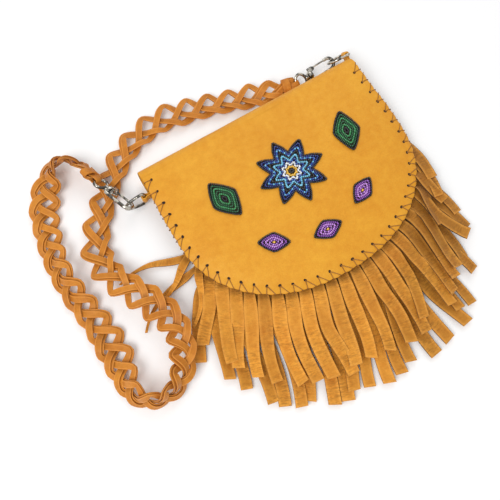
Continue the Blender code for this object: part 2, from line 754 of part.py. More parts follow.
def make_strap():
    profile = bpy.data.curves.new("strap_section", "CURVE")
    spline = profile.splines.new("POLY")
    sides = 12
    spline.points.add(sides - 1)
    for k, point in enumerate(spline.points):
        angle = 2 * math.pi * k / sides
        across = -STRAP_WIDTH / 2 * math.cos(angle) * MM
        point.co = (across, STRAP_THICKNESS / 2 * math.sin(angle) * MM, 0.0, 1.0)
    spline.use_cyclic_u = True
    section = link("strap_section", profile)
    section.hide_render = True

    curve = bpy.data.curves.new("strap", "CURVE")
    curve.dimensions = "3D"
    curve.twist_mode = "Z_UP"
    curve.bevel_mode = "OBJECT"
    curve.bevel_object = section
    curve.use_fill_caps = True
    stations = strap_stations()
    spline = curve.splines.new("POLY")
    spline.points.add(len(stations) - 1)
    for point, (where, turn) in zip(spline.points, stations):
        point.co = (*(c * MM for c in where), 1.0)
        point.tilt = math.radians(turn)
    link("strap", curve)


# Materials and the axes that the moving pieces turn about


def give_materials():
    smooth = material("smooth_leather", (0.80, 0.42, 0.08), 0.5)
    suede = material("fringe_leather", (0.58, 0.27, 0.06), 0.75)
    braid = material("braid_leather", (0.66, 0.30, 0.06), 0.6)
    beads = material("seed_beads", (0.05, 0.16, 0.45), 0.25)
    violet = material("violet_beads", (0.40, 0.14, 0.55), 0.25)
    green = material("green_beads", (0.05, 0.25, 0.08), 0.25)
    metal = material("pale_nickel", (0.80, 0.72, 0.55), 0.25, 1.0)
    for obj in bpy.context.scene.collection.objects:
        if obj.data is None or obj.hide_render:
            continue
        kind = smooth
        if obj.name.startswith("fringe"):
            kind = suede
        elif obj.name.startswith("strap"):
            kind = braid
        elif obj.name.startswith("bead_star"):
            kind = beads
        elif obj.name.startswith("bead_diamond"):
            kind = violet
        elif obj.name.startswith("bead_spray"):
            kind = green
        elif obj.name.startswith(("d_ring", "hook", "gate", "swivel", "snap")):
            kind = metal
        obj.data.materials.clear()
        obj.data.materials.append(kind)


def give_axes():
    on_flap = ["flap", "flap_lining", "snap_stud", "bead_star"]
    on_flap += [f"bead_diamond_{where}" for where in ("left", "centre", "right")]
    on_flap += [f"bead_spray_{where}" for where in ("left", "right")]
    hang_on("flap_hinge", (0.0, FOLD_CENTRE_Y, FOLD_TOP_Z), on_flap)
    for side, bar in (("left", LEFT_BAR), ("right", RIGHT_BAR)):
        hang_on(f"ring_axis_{side}", bar, [f"d_ring_{side}"])
        frame = clasp_frame(side)
        hang_on(f"swivel_axis_{side}", frame.to_translation(), [f"hook_{side}"])
        hang_on(f"gate_axis_{side}", frame @ Vector((GATE_PIVOT_AT, HOOK_HALF_WIDTH, 0.0)), [f"gate_{side}"])


def main():
    clear_scene()
    make_back_panel()
    make_front_panel()
    make_fringe("fringe_back", STRIPS, BACK_STRIP_LENGTH, False)
    make_fringe("fringe_front", STRIPS - 1, FRONT_STRIP_LENGTH, True)
    make_flap()
    make_snap()
    make_beadwork()
    make_rings_and_tabs()
    make_clasps()
    make_strap()
    give_materials()
    give_axes()


main()
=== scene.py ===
"""Looks of a fringed leather bag lying on its back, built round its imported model.

Lengths are in millimetres here and are turned into metres when a mesh is made.
X runs along the fold, Y from the rounded bottom to the fold, Z up from the table.
"""

import functools
import math

import bpy
import numpy as np
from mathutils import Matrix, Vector


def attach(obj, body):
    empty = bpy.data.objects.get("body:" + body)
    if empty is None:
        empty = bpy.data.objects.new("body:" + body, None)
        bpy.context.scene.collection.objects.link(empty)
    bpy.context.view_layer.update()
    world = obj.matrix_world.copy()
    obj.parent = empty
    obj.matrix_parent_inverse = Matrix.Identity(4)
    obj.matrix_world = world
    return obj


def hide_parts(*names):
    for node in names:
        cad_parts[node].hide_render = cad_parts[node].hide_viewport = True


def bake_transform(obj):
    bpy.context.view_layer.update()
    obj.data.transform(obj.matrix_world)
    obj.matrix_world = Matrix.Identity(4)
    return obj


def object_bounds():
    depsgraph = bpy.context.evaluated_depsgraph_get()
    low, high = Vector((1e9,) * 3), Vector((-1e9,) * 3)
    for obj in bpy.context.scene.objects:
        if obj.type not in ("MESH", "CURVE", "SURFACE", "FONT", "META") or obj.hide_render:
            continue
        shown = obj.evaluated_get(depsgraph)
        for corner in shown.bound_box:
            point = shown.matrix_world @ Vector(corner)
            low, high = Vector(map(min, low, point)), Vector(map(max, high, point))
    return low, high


MM = 0.001

# Camera and light: angles in degrees, distances in metres, power in watts
CAMERA_AZIMUTH = -31.65
CAMERA_ELEVATION = 71.6
CAMERA_TARGET = Vector((-0.067, -0.028, 0.018))
CAMERA_DISTANCE = 0.510
CAMERA_LENS = 43.2
LIGHTS = (("key", (-0.8, -0.35, 1.25), 0.9, 12.0), ("fill", (0.6, 0.8, 1.1), 1.1, 4.0))
LIGHT_TARGET = Vector((-0.05, -0.02, 0.0))
WORLD_LEVEL = 0.62
FLOOR_REACH = 3.0
FLOOR_BELOW = 0.0003

# Leather sheets and the flap, as in the construction
LEATHER = 2.0
LINING = 1.0
FRINGE_LEATHER = 1.8
SHEET_GAP = 0.3
LINING_GAP = 0.8
FLAP_HALF_WIDTH = 114.5
FLAP_BELLY = 2.5
FLAP_CURVE_POWER = 2.2
FLAP_CURVE_START_Y = 8.0
FLAP_CURVE_DEPTH = 95.0
FLAP_EDGE_Z = 11.5
FOLD_CENTRE_Y = 77.0
FOLD_RADIUS = 11.2
FOLD_SLIT = 0.9
FOLD_TOP_Z = 2 * FOLD_RADIUS

# Bag body
BODY_HALF_WIDTH = 105.5
BODY_CURVE_DEPTH = 85.0
MOUTH_Y = 66.0
FRONT_FLANGE_Z = 8.3
FRONT_DOME = 8.2
FRONT_UNDER_FLAP = 0.8
NECK_BELOW_FOLD = 32.0
NECK_HEIGHT = 28.0

# Fringe: sizes, and how the strips fall, reach and turn at places -1..1 along the seam
STRIPS = 25
SOLID_STRIP_STEPS = 9
BACK_STRIP_LENGTH = 104.0
FRONT_STRIP_LENGTH = 84.0
STRIP_SPACING = 11.6
LEAST_SPACING = 7.0
EXTRA_STRIP_ROLL = 9.0
STRIP_ROOT_WIDTH = 11.5
STRIP_SHOWN_WIDTH = 12.8
STRIP_STEPS = 36
STRIP_SHEET = 1.3
FRINGE_ENDS = (-0.985, 0.78)
BACK_SHOWN_END = 0.96
STRIP_FALL = (
    (-1.0, -0.93, -0.86, -0.78, -0.7, -0.1, 0.2, 0.5, 1.0),
    (-96, -78, -48, -28, -22, -17, -11, -4, -1),
)
STRIP_REACH = ((-1.0, -0.78, -0.5, 0.6, 1.0), (0.6, 0.84, 1.0, 1.0, 0.86))
STRIP_SHORTENED = ((0.46, 0.6, 0.8, 1.0), (1.0, 0.8, 0.62, 0.45))
STRIP_SQUARE = ((-1.0, -0.86, 1.0), (1.08, 0.86, 0.8))
STRIP_TURN = ((-0.6, 0.4, 0.8), (0.45, 0.38, 0.28))
STRIP_CALM = ((-0.6, -0.4, 1.0), (0.1, 1.0, 1.0))
BAND_DEPTH = 9.0
BAND_OUT = 1.5
# Painted shade on the uncut fringe band, which lies under the flap's overhang
BAND_PAINTED_SHADE = -0.4
BACK_BAND_Z = LEATHER + SHEET_GAP + FRINGE_LEATHER / 2
FRONT_BAND_Z = BACK_BAND_Z + FRINGE_LEATHER + SHEET_GAP
BACK_STRIP_WAVE = 1.8
FRONT_STRIP_WAVE = 4.5
ODD_STRIPS_OVER = 1.2

# Bends of the strips, in degrees
SHARED_BEND = 8.0
FRONT_KINK = 19.0
BACK_KINK = 12.0
LOOSE_BEND = 34.0
SPREAD_BEND = 14.0
STRAY_STRIPS = 2
FRONT_STRAY = 26.0
BACK_STRAY = -24.0

# Painted shade on the strips: under the flap, on the right, and the darkest a strip may get
UNDER_FLAP_PAINTED_SHADE = 0.34
UNDER_FLAP_REACH = 10.8
RIGHT_PAINTED_SHADE = 0.2
DARKEST_STRIP = -0.42

# Snap closure
SNAP_ABOVE_EDGE = 39.0
SNAP_Y = FLAP_CURVE_START_Y - FLAP_CURVE_DEPTH + SNAP_ABOVE_EDGE
SNAP_RADIUS = 7.0
SNAP_PLATE = 1.2
SNAP_SOCKET = 1.4
SNAP_SEAT = 0.6
SNAP_POCKET = 3.5

# Hand lacing along the flap's edge; a pull is its strength and its reach squared
HOLE_SPACING = 11.9
HOLE_INSET = (8.0, 7.4)
HOLE_RADIUS = 1.35
HOLE_DENT = 0.6
LACING_PUFF = 0.7
EDGE_PULL = (1.05, 6.0)
SLANT_PULL = (0.6, 5.0)
THREAD_RADIUS = 0.35
LACING_TOP = 76.4

# Seam stitches
STITCH_PITCH = 5.4
STITCH_GAP = 0.6
STITCH_END = 4.4
STITCH_INSET = 4.2

# Rings and clasps
RING_WIRE = 1.3
RING_HALF_BAR = 9.5
RING_LENGTH = 19.0
TAB_WALL = 1.5
TAB_WIDTH = 8.0
LEFT_BAR = np.array([-119.8, 64.0, 12.0])
RIGHT_BAR = np.array([116.35, 94.5, 12.0])
RIGHT_BAR_AXIS = np.array([0.0, -0.57, 0.82]) / math.hypot(0.57, 0.82)
HOOK_WIRE = 1.6
HOOK_HALF_WIDTH = 5.4
HOOK_ARC_AT = 22.0
HOOK_NOSE_AT = 19.2
CHEEK_INSIDE = 1.5
CHEEK_OUTSIDE = 2.7
HOOK_BASE_RADIUS = 4.6
HOOK_BASE_LENGTH = 3.2
WIRE_IN_HOOK_AT = 22.8
LEFT_WIRE_AT = 60
LEFT_THROUGH = np.array([0.72, 0.0, 0.69])
POST_RADIUS = 1.5
END_CLEARANCE = 0.3
HEAD_RADIUS = 2.9
EYE_WIRE = 1.4
EYE_HALF_WIDTH = 7.0
EYE_HALF_LENGTH = 5.2
EYE_MIDDLE = -8.9
SHARP_ANGLE = math.radians(38)
GATE_PIVOT_AT = 5.6
LEFT_CLASP_BACK = np.array([-0.33, 0.944, 0.0]) / math.hypot(0.33, 0.944)
RIGHT_CLASP_BACK = np.array([-0.99, -0.01, -0.14]) / math.sqrt(0.99**2 + 0.01**2 + 0.14**2)

# Braid
STRAP_STEP = 1.7
STRAP_END_AT = -15.9
BRAID_TURN = ((0.0, 0.5, 0.64, 1.0), (52.0, 52.0, 63.0, 63.0))
BRAID_SWING = 10.4
BRAID_OPEN = 1.7
BRAID_LIFT = 2.0
LACE_WIDTH = 5.7
LACE_THICKNESS = 1.2
LACE_SLIDE = 0.65
LOOP_LACE = (6.6, 1.2)
LOOP_RADIUS = 2.4
WRAP_LACE = (4.6, 1.1)
WRAP_HALF = (8.2, 4.3)
WRAP_TURNS = 2.15

# Beads, by their places in the ramp of colours
BEAD_COLOURS = (
    (14, 14, 20), (22, 44, 112), (48, 92, 176), (120, 196, 226), (232, 236, 240),
    (132, 74, 168), (196, 140, 220), (22, 84, 48), (60, 142, 84), (228, 180, 60),
)
BLACK, NAVY, BLUE, SKY, WHITE, VIOLET, LILAC, GREEN, LEAF, GOLD = range(10)
STAR_CENTRE = (2.0, 14.0)
STAR_OUTER = 33.0
STAR_INNER = 19.0
STAR_ROWS = (
    (0.965, BLACK), (0.85, NAVY), (0.735, (BLUE, BLUE, SKY)), (0.62, BLACK), (0.505, SKY),
    (0.39, (BLUE, NAVY)), (0.275, WHITE), (0.16, GOLD), (0.06, BLACK),
)
DIAMOND_PLACES = (
    ("left", (-46.0, -33.0), -0.5), ("centre", (0.0, -47.0), 0.0), ("right", (46.0, -33.0), 0.5),
)
DIAMOND_HALF = (15.0, 9.0)
DIAMOND_ROWS = ((0.93, BLACK), (0.72, VIOLET), (0.5, LILAC), (0.28, (LILAC, VIOLET)), (0.08, GOLD))
SPRAY_PLACES = (("left", (-62.0, 22.0), 0.25), ("right", (66.0, 22.0), -0.25))
SPRAY_HALF = (13.0, 21.0)
SPRAY_ROWS = ((0.95, BLACK), (0.79, GREEN), (0.63, LEAF), (0.47, GREEN), (0.31, LEAF), (0.14, BLACK))
BEAD_FOOT = 0.28
BEAD_GAP = 1.62
BEAD_SIZE = 0.86


# Numbers and shapes


def smooth(value):
    value = np.clip(value, 0.0, 1.0)
    return value * value * (3 - 2 * value)


def wobble(seed):
    """A repeatable number in 0..1 for each seed."""
    value = np.sin(np.asarray(seed, float) * 12.9898 + 4.1) * 43758.5453
    return value - np.floor(value)


def unit(vectors):
    vectors = np.asarray(vectors, float)
    return vectors / np.linalg.norm(vectors, axis=-1, keepdims=True)


def colour(red, green, blue):
    """A colour given as it looks on a screen, 0..255, as Blender's linear numbers."""
    made = []
    for value in (red, green, blue):
        share = value / 255
        made.append(share / 12.92 if share <= 0.04045 else ((share + 0.055) / 1.055) ** 2.4)
    return (*made, 1.0)


class Shape:
    """Points in millimetres, faces and values per point, gathered from several parts."""

    def __init__(self):
        self.points = []
        self.faces = []
        self.values = {"tone": [], "edge": [], "pick": []}
        self.maps = []
        self.count = 0

    def add(self, points, faces, tone=0.0, edge=0.0, pick=0.0, uv=None, place=None):
        points = np.asarray(points, float).reshape(-1, 3)
        if place is not None:
            points = placed(points, place)
        size = len(points)
        self.points.append(points)
        self.faces.extend([tuple(int(i) + self.count for i in face) for face in faces])
        for label, given in (("tone", tone), ("edge", edge), ("pick", pick)):
            self.values[label].append(np.broadcast_to(np.asarray(given, float), (size,)))
        self.maps.append(np.zeros((size, 2)) if uv is None else np.asarray(uv, float).reshape(-1, 2))
        self.count += size
        return self

    def run(self, path, outline, up=(0.0, 0.0, 1.0), place=None, closed=False):
        """Adds an outline carried along a path, upright to the way given."""
        sides, ups = frames(np.asarray(path, float), np.array(up), closed)
        points, faces = sweep(np.asarray(path, float), sides, ups, outline, closed)
        return self.add(points, faces, place=place)

    def lace(self, path, sides, ups, width, thickness, tone=0.0, place=None):
        """Adds a flat lace along a path, pale at its cut edges."""
        outline = np.array(flat_outline(width, thickness))
        points, faces = sweep(path, sides, ups, outline)
        edge = np.tile(np.abs(outline[:, 0]) == width / 2, len(path))
        return self.add(points, faces, tone, edge, place=place)

    def turned(self, profile, count, place, on_pin=False, open_ends=False):
        """Adds a turned solid, about the clasp's length or about the lever's pin."""
        points, faces = lathe(profile, count)
        if on_pin:
            points = points[:, [2, 1, 0]] * (1, 1, -1) + (GATE_PIVOT_AT, HOOK_HALF_WIDTH, 0.0)
        return self.add(points, faces[:-2] if open_ends else faces, place=place)

    def finish(self, name, material, body, *nodes, crisp=False):
        mesh = bpy.data.meshes.new(name)
        points = np.concatenate(self.points)
        mesh.from_pydata((points * MM).tolist(), [], self.faces)
        mesh.shade_smooth()
        for label, given in self.values.items():
            made = mesh.attributes.new(label, "FLOAT", "POINT")
            made.data.foreach_set("value", np.concatenate(given).astype(np.float32))
        layer = mesh.uv_layers.new(name="lay")
        loops = np.empty(len(mesh.loops), np.int32)
        mesh.loops.foreach_get("vertex_index", loops)
        layer.data.foreach_set("uv", np.concatenate(self.maps).astype(np.float32)[loops].ravel())
        mesh.materials.append(material)
        obj = bpy.data.objects.new(name, mesh)
        bpy.context.scene.collection.objects.link(obj)
        if body:
            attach(obj, body)
        if nodes:
            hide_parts(*nodes)
        if crisp:
            mesh.set_sharp_from_angle(angle=SHARP_ANGLE)
        return obj


def grid_faces(rows, columns, closed=False):
    """Faces between rows of points, each row closed on itself or not."""
    faces = []
    last = columns if closed else columns - 1
    for i in range(rows - 1):
        for j in range(last):
            a = i * columns + j
            b = i * columns + (j + 1) % columns
            faces.append((a, b, b + columns, a + columns))
    return faces


def end_faces(rows, columns):
    """Faces over the first and the last of some closed rows."""
    return [tuple(range(columns))[::-1], tuple(range((rows - 1) * columns, rows * columns))]


def sweep(path, sides, ups, outline, closed=False):
    """Points and faces of an outline of (side, up) pairs carried along a path."""
    outline = np.asarray(outline, float)
    if outline.ndim == 2:
        outline = np.broadcast_to(outline, (len(path), *outline.shape))
    points = path[:, None] + sides[:, None] * outline[..., :1] + ups[:, None] * outline[..., 1:]
    rows, columns = points.shape[:2]
    faces = grid_faces(rows, columns, True)
    last = (rows - 1) * columns
    if closed:
        faces += [(last + j, last + (j + 1) % columns, (j + 1) % columns, j) for j in range(columns)]
    else:
        faces += end_faces(rows, columns)
    return points.reshape(-1, 3), faces


def frames(path, up, closed=False):
    """Sides and ups along a path whose up stays near the one given."""
    if closed:
        tangents = np.roll(path, -1, axis=0) - np.roll(path, 1, axis=0)
    else:
        tangents = np.gradient(path, axis=0)
    tangents = unit(tangents)
    sides = unit(np.cross(tangents, np.broadcast_to(up, path.shape)))
    return sides, np.cross(sides, tangents)


def circle(radius, count):
    angles = 2 * np.pi * np.arange(count) / count
    return np.stack([radius * np.cos(angles), radius * np.sin(angles)], 1)


def flat_outline(width, thickness):
    """The section of a flat lace, with its edges a little rounded."""
    half = width / 2
    thin = thickness / 2
    soft = min(thin * 0.8, 0.6)
    right = [(half - soft, thin), (half - soft * 0.3, thin - soft * 0.35), (half, 0.0)]
    right += [(half - soft * 0.3, -thin + soft * 0.35), (half - soft, -thin)]
    left = [(-a, -b) for a, b in right]
    return right + [(0.0, -thin)] + left + [(0.0, thin)]


def lathe(profile, count):
    """A turned solid from (along, radius) pairs, about local X."""
    angles = 2 * np.pi * np.arange(count) / count
    profile = np.asarray(profile, float)
    points = np.empty((len(profile), count, 3))
    points[..., 0] = profile[:, :1]
    points[..., 1] = profile[:, 1:] * np.cos(angles)
    points[..., 2] = profile[:, 1:] * np.sin(angles)
    return points.reshape(-1, 3), grid_faces(len(profile), count, True) + end_faces(len(profile), count)


def distances(points):
    """The distance of each point from the start of its line."""
    return np.concatenate([[0.0], np.cumsum(np.linalg.norm(np.diff(points, axis=0), axis=1))])


def resampled(points, step=None, count=None):
    """Rows at equal distances along a line, and the distance of each. Only x, y and z are measured."""
    points = np.asarray(points, float)
    lengths = distances(points[:, :3])
    if count is None:
        count = int(round(lengths[-1] / step)) + 1
    wanted = np.linspace(0, lengths[-1], count)
    return np.stack([np.interp(wanted, lengths, points[:, k]) for k in range(points.shape[1])], 1), wanted


def rounded_line(stations, per_span=12):
    """A smooth line through every station, for rows of any width."""
    given = np.asarray(stations, float)
    padded = np.concatenate([[2 * given[0] - given[1]], given, [2 * given[-1] - given[-2]]])
    found = []
    for k in range(1, len(padded) - 2):
        a, b, c, d = padded[k - 1:k + 3]
        for t in np.linspace(0, 1, per_span, endpoint=False):
            curve = (c - a) * t + (2 * a - 5 * b + 4 * c - d) * t**2 + (3 * b - a - 3 * c + d) * t**3
            found.append(0.5 * (2 * b + curve))
    found.append(given[-1])
    return np.array(found)


# Material nodes


class Nodes:
    """Short calls for building one material."""

    def __init__(self, name):
        self.material = bpy.data.materials.new(name)
        self.material.use_nodes = True
        self.tree = self.material.node_tree
        self.shader = self.tree.nodes["Principled BSDF"]
        self.place = self.add("ShaderNodeTexCoord").outputs["Object"]

    def add(self, kind, inputs=None, **settings):
        node = self.tree.nodes.new(kind)
        for label, value in settings.items():
            setattr(node, label, value)
        for label, value in (inputs or {}).items():
            self.join(node.inputs[label], value)
        return node

    def join(self, socket, value):
        """Links a socket to another one, or sets it."""
        if isinstance(value, bpy.types.NodeSocket):
            self.tree.links.new(value, socket)
        else:
            socket.default_value = value

    def attribute(self, name):
        return self.add("ShaderNodeAttribute", attribute_name=name).outputs["Fac"]

    def look(self, inputs):
        """Sets or links the shader's own inputs and gives the material."""
        for label, value in inputs.items():
            self.join(self.shader.inputs[label], value)
        return self.material

    def math(self, operation, first, second):
        return self.add("ShaderNodeMath", {0: first, 1: second}, operation=operation).outputs[0]

    def spread(self, value, low, high, to_low=0.0, to_high=1.0):
        given = {"Value": value, "From Min": low, "From Max": high, "To Min": to_low, "To Max": to_high}
        return self.add("ShaderNodeMapRange", given).outputs[0]

    def noise(self, vector, scale, detail=3.0, roughness=0.5):
        given = {"Vector": vector, "Scale": scale, "Detail": detail, "Roughness": roughness}
        return self.add("ShaderNodeTexNoise", given).outputs["Fac"]

    def mix(self, share, first, second, blend="MIX"):
        node = self.add("ShaderNodeMix", data_type="RGBA", blend_type=blend)
        sockets = [s for s in node.inputs if s.type == "RGBA"]
        factor = [s for s in node.inputs if s.type == "VALUE"][0]
        for socket, value in ((factor, share), (sockets[0], first), (sockets[1], second)):
            self.join(socket, value)
        return [s for s in node.outputs if s.type == "RGBA"][0]

    def shaded(self, base, level):
        """A colour made darker or paler by a level."""
        grey = self.add("ShaderNodeCombineColor", {0: level, 1: level, 2: level}).outputs[0]
        return self.mix(1.0, base, grey, "MULTIPLY")

    def bump(self, height, distance, strength=1.0, normal=None):
        given = {"Height": height, "Distance": distance, "Strength": strength}
        if normal is not None:
            given["Normal"] = normal
        return self.add("ShaderNodeBump", given).outputs["Normal"]


def add_creases(n, base, normal, crease):
    """Fine wrinkles across a strip, in patches, in its relief, with painted shade in the creases and painted
    light on their crests.
    """
    lay = n.add("ShaderNodeUVMap", uv_map="lay").outputs[0]
    wide = n.add("ShaderNodeMapping", {"Vector": lay, "Scale": (1.1, 3.6, 1.0)}).outputs[0]
    close = n.add("ShaderNodeMapping", {"Vector": lay, "Scale": (2.2, 8.0, 1.0)}).outputs[0]
    large = n.math("MULTIPLY", n.noise(wide, 1.0, 2.0, 0.5), 0.5)
    small = n.math("MULTIPLY", n.noise(close, 1.0, 3.0, 0.6), 0.9)
    where = n.spread(n.noise(n.place, 45.0, 1.0), 0.4, 0.62, 0.2, 1.0)
    creases = n.math("MULTIPLY", n.math("SUBTRACT", n.math("ADD", large, small), 0.7), where)
    # Painted shade in the creases and painted light on their crests.
    base = n.shaded(base, n.spread(creases, -0.15, 0.1, 0.68, 1.08))
    return base, n.bump(creases, crease, 1.0, normal)


def leather(name, light, dark, rough, sheen, grain, crease=0.0):
    """Leather with soft mottling, fine grain, paler cut edges and, on strips, creases across them."""
    n = Nodes(name)
    broad = n.noise(n.place, 28.0, 4.0, 0.6)
    middle = n.noise(n.place, 170.0, 4.0, 0.65)
    fine = n.noise(n.place, 900.0, 3.0, 0.6)
    share = n.math("ADD", n.math("MULTIPLY", broad, 0.55), n.math("MULTIPLY", middle, 0.45))
    base = n.mix(n.spread(share, 0.325, 0.675), light, dark)
    # The tone attribute holds each mesh's random tone and its painted shade.
    tone = n.math("ADD", 1.0, n.attribute("tone"))
    base = n.shaded(base, n.math("MULTIPLY", tone, n.spread(fine, 0.3, 0.7, 0.94, 1.05)))
    pale = tuple(min(1.0, c * 1.22 + 0.03) for c in light[:3]) + (1.0,)
    base = n.mix(n.math("MULTIPLY", n.attribute("edge"), 0.55), base, pale)
    pores = n.add("ShaderNodeTexVoronoi", {"Vector": n.place, "Scale": 1150.0, "Randomness": 0.95})
    pores = n.math("MULTIPLY", pores.outputs["Distance"], 0.8)
    normal = n.bump(n.math("ADD", fine, pores), grain)
    normal = n.bump(middle, grain * 3.5, 1.0, normal)
    if crease:
        base, normal = add_creases(n, base, normal, crease)
    return n.look({
        "Base Color": base,
        "Normal": normal,
        "Roughness": n.spread(middle, 0.3, 0.7, rough - 0.06, rough + 0.08),
        "Sheen Weight": sheen,
        "Sheen Roughness": 0.5,
        "Specular IOR Level": 0.25,
    })


def metal(name, base, rough):
    """Plated metal, bright, with painted reflection: dark patches in place of dark surroundings seen in the
    mirror.
    """
    n = Nodes(name)
    worn = n.noise(n.place, 420.0, 4.0, 0.7)
    painted_reflection = n.spread(n.noise(n.place, 210.0, 2.0, 0.5), 0.44, 0.56)
    # The dark colour is a painted reflection, not a colour of the metal.
    dark = tuple(c * 0.16 for c in base[:3]) + (1.0,)
    return n.look({
        "Base Color": n.mix(n.spread(worn, 0.35, 0.75, 0.0, 0.3), n.mix(painted_reflection, base, dark), dark),
        "Roughness": n.spread(worn, 0.3, 0.75, rough, rough + 0.16),
        "Normal": n.bump(n.noise(n.place, 1500.0, 2.0), 0.00002),
        "Metallic": 1.0,
    })


def thread_material():
    n = Nodes("waxed_thread")
    fibre = n.noise(n.place, 2600.0, 3.0, 0.7)
    return n.look({
        # Colours darker than the thread itself: partly its own brown, partly painted shade of the grooves it
        # pinches into the leather.
        "Base Color": n.mix(n.spread(fibre, 0.3, 0.7), colour(176, 118, 48), colour(112, 68, 22)),
        "Normal": n.bump(fibre, 0.00015),
        "Roughness": n.spread(fibre, 0.3, 0.7, 0.5, 0.7),
    })


def dark_material():
    # Near-black brown: painted shade inside the lacing holes, and the colour of the felt under the beads.
    n = Nodes("painted_hole_shade_and_felt")
    rough = n.noise(n.place, 1800.0, 2.0)
    return n.look({
        "Base Color": n.mix(rough, colour(22, 11, 4), colour(48, 25, 9)),
        "Roughness": n.spread(rough, 0.3, 0.7, 0.8, 0.95),
    })


def bead_material():
    """Glossy glass beads. The pick of a point names its colour, one step of the ramp each."""
    n = Nodes("seed_beads")
    step = 1 / len(BEAD_COLOURS)
    fac = n.math("ADD", n.math("MULTIPLY", n.attribute("pick"), step), step / 2)
    ramp = n.add("ShaderNodeValToRGB", {"Fac": fac})
    ramp.color_ramp.interpolation = "CONSTANT"
    stops = ramp.color_ramp.elements
    while len(stops) < len(BEAD_COLOURS):
        stops.new(0.5)
    for k, (stop, name) in enumerate(zip(stops, BEAD_COLOURS)):
        stop.position = k * step
        stop.color = colour(*name)
    return n.look({
        "Base Color": n.shaded(ramp.outputs["Color"], n.math("ADD", 1.0, n.attribute("tone"))),
        "Roughness": n.spread(n.noise(n.place, 900.0, 2.0), 0.3, 0.7, 0.12, 0.26),
        "Coat Weight": 0.5,
        "Coat Roughness": 0.08,
    })


# Light, floor and camera


def make_camera():
    """The photograph's viewpoint, from the lower left and well above."""
    azimuth = math.radians(CAMERA_AZIMUTH)
    elevation = math.radians(CAMERA_ELEVATION)
    level = math.cos(elevation)
    back = Vector((math.sin(azimuth) * level, -math.cos(azimuth) * level, math.sin(elevation)))
    data = bpy.data.cameras.new("camera")
    data.lens = CAMERA_LENS
    data.sensor_width = 36.0
    data.clip_start = 0.01
    camera = bpy.data.objects.new("camera", data)
    camera.location = CAMERA_TARGET + back * CAMERA_DISTANCE
    camera.rotation_euler = (-back).to_track_quat("-Z", "Y").to_euler()
    bpy.context.scene.collection.objects.link(camera)
    bpy.context.scene.camera = camera


def make_lamps():
    for name, where, size, power in LIGHTS:
        data = bpy.data.lights.new(name, "AREA")
        data.shape = "DISK"
        data.size = size
        data.energy = power
        lamp = bpy.data.objects.new(name, data)
        lamp.location = where
        lamp.rotation_euler = (LIGHT_TARGET - lamp.location).to_track_quat("-Z", "Y").to_euler()
        bpy.context.scene.collection.objects.link(lamp)


def make_world():
    """Dim white light on the object, and plain white where the camera or a reflection looks past it."""
    world = bpy.data.worlds.new("studio")
    bpy.context.scene.world = world
    world.use_nodes = True
    tree = world.node_tree
    light = tree.nodes["Background"]
    light.inputs["Color"].default_value = (1.0, 1.0, 1.0, 1.0)
    light.inputs["Strength"].default_value = WORLD_LEVEL
    seen = tree.nodes.new("ShaderNodeBackground")
    path = tree.nodes.new("ShaderNodeLightPath")
    pick = tree.nodes.new("ShaderNodeMixShader")
    shown = path.outputs["Is Camera Ray"]
    for label in ("Is Glossy Ray", "Is Transmission Ray"):
        either = tree.nodes.new("ShaderNodeMath")
        either.operation = "MAXIMUM"
        tree.links.new(shown, either.inputs[0])
        tree.links.new(path.outputs[label], either.inputs[1])
        shown = either.outputs[0]
    seen.inputs["Strength"].default_value = 1.0
    for source, socket in (
        (shown, pick.inputs[0]),
        (light.outputs[0], pick.inputs[1]),
        (seen.outputs[0], pick.inputs[2]),
        (pick.outputs[0], tree.nodes["World Output"].inputs[0]),
    ):
        tree.links.new(source, socket)


def make_floor():
    n = Nodes("pale_floor")
    soft = n.noise(n.place, 6.0, 2.0)
    paper = n.look({
        "Base Color": n.mix(soft, (0.93, 0.93, 0.93, 1.0), (0.96, 0.96, 0.96, 1.0)),
        "Roughness": n.spread(soft, 0.3, 0.7, 0.85, 0.95),
    })
    low = CAD_BOX[0][2] - FLOOR_BELOW
    corners = [(x * FLOOR_REACH, y * FLOOR_REACH, low) for x, y in ((-1, -1), (1, -1), (1, 1), (-1, 1))]
    mesh = bpy.data.meshes.new("floor")
    mesh.from_pydata(corners, [], [(0, 1, 2, 3)])
    mesh.materials.append(paper)
    floor = bpy.data.objects.new("floor", mesh)
    bpy.context.scene.collection.objects.link(floor)


# Clasp frames


def clasp_frame(side):
    """Columns along, across and through a clasp, and its origin, from where the ring's wire lies in it."""
    if side == "left":
        t = math.radians(LEFT_WIRE_AT)
        wire = LEFT_BAR + np.array([-RING_LENGTH * math.sin(t), 0.0, RING_HALF_BAR * math.cos(t)])
        along = -LEFT_CLASP_BACK
        through = LEFT_THROUGH
    else:
        wire = RIGHT_BAR + np.array([-RING_LENGTH, 0.0, 0.0])
        along = -RIGHT_CLASP_BACK
        through = RIGHT_BAR_AXIS
    across = unit(np.cross(through, along))
    turn = np.stack([along, across, np.cross(along, across)], 1)
    return turn, wire - along * WIRE_IN_HOOK_AT


def placed(points, place):
    turn, origin = place
    return np.asarray(points) @ turn.T + origin


# Braided strap


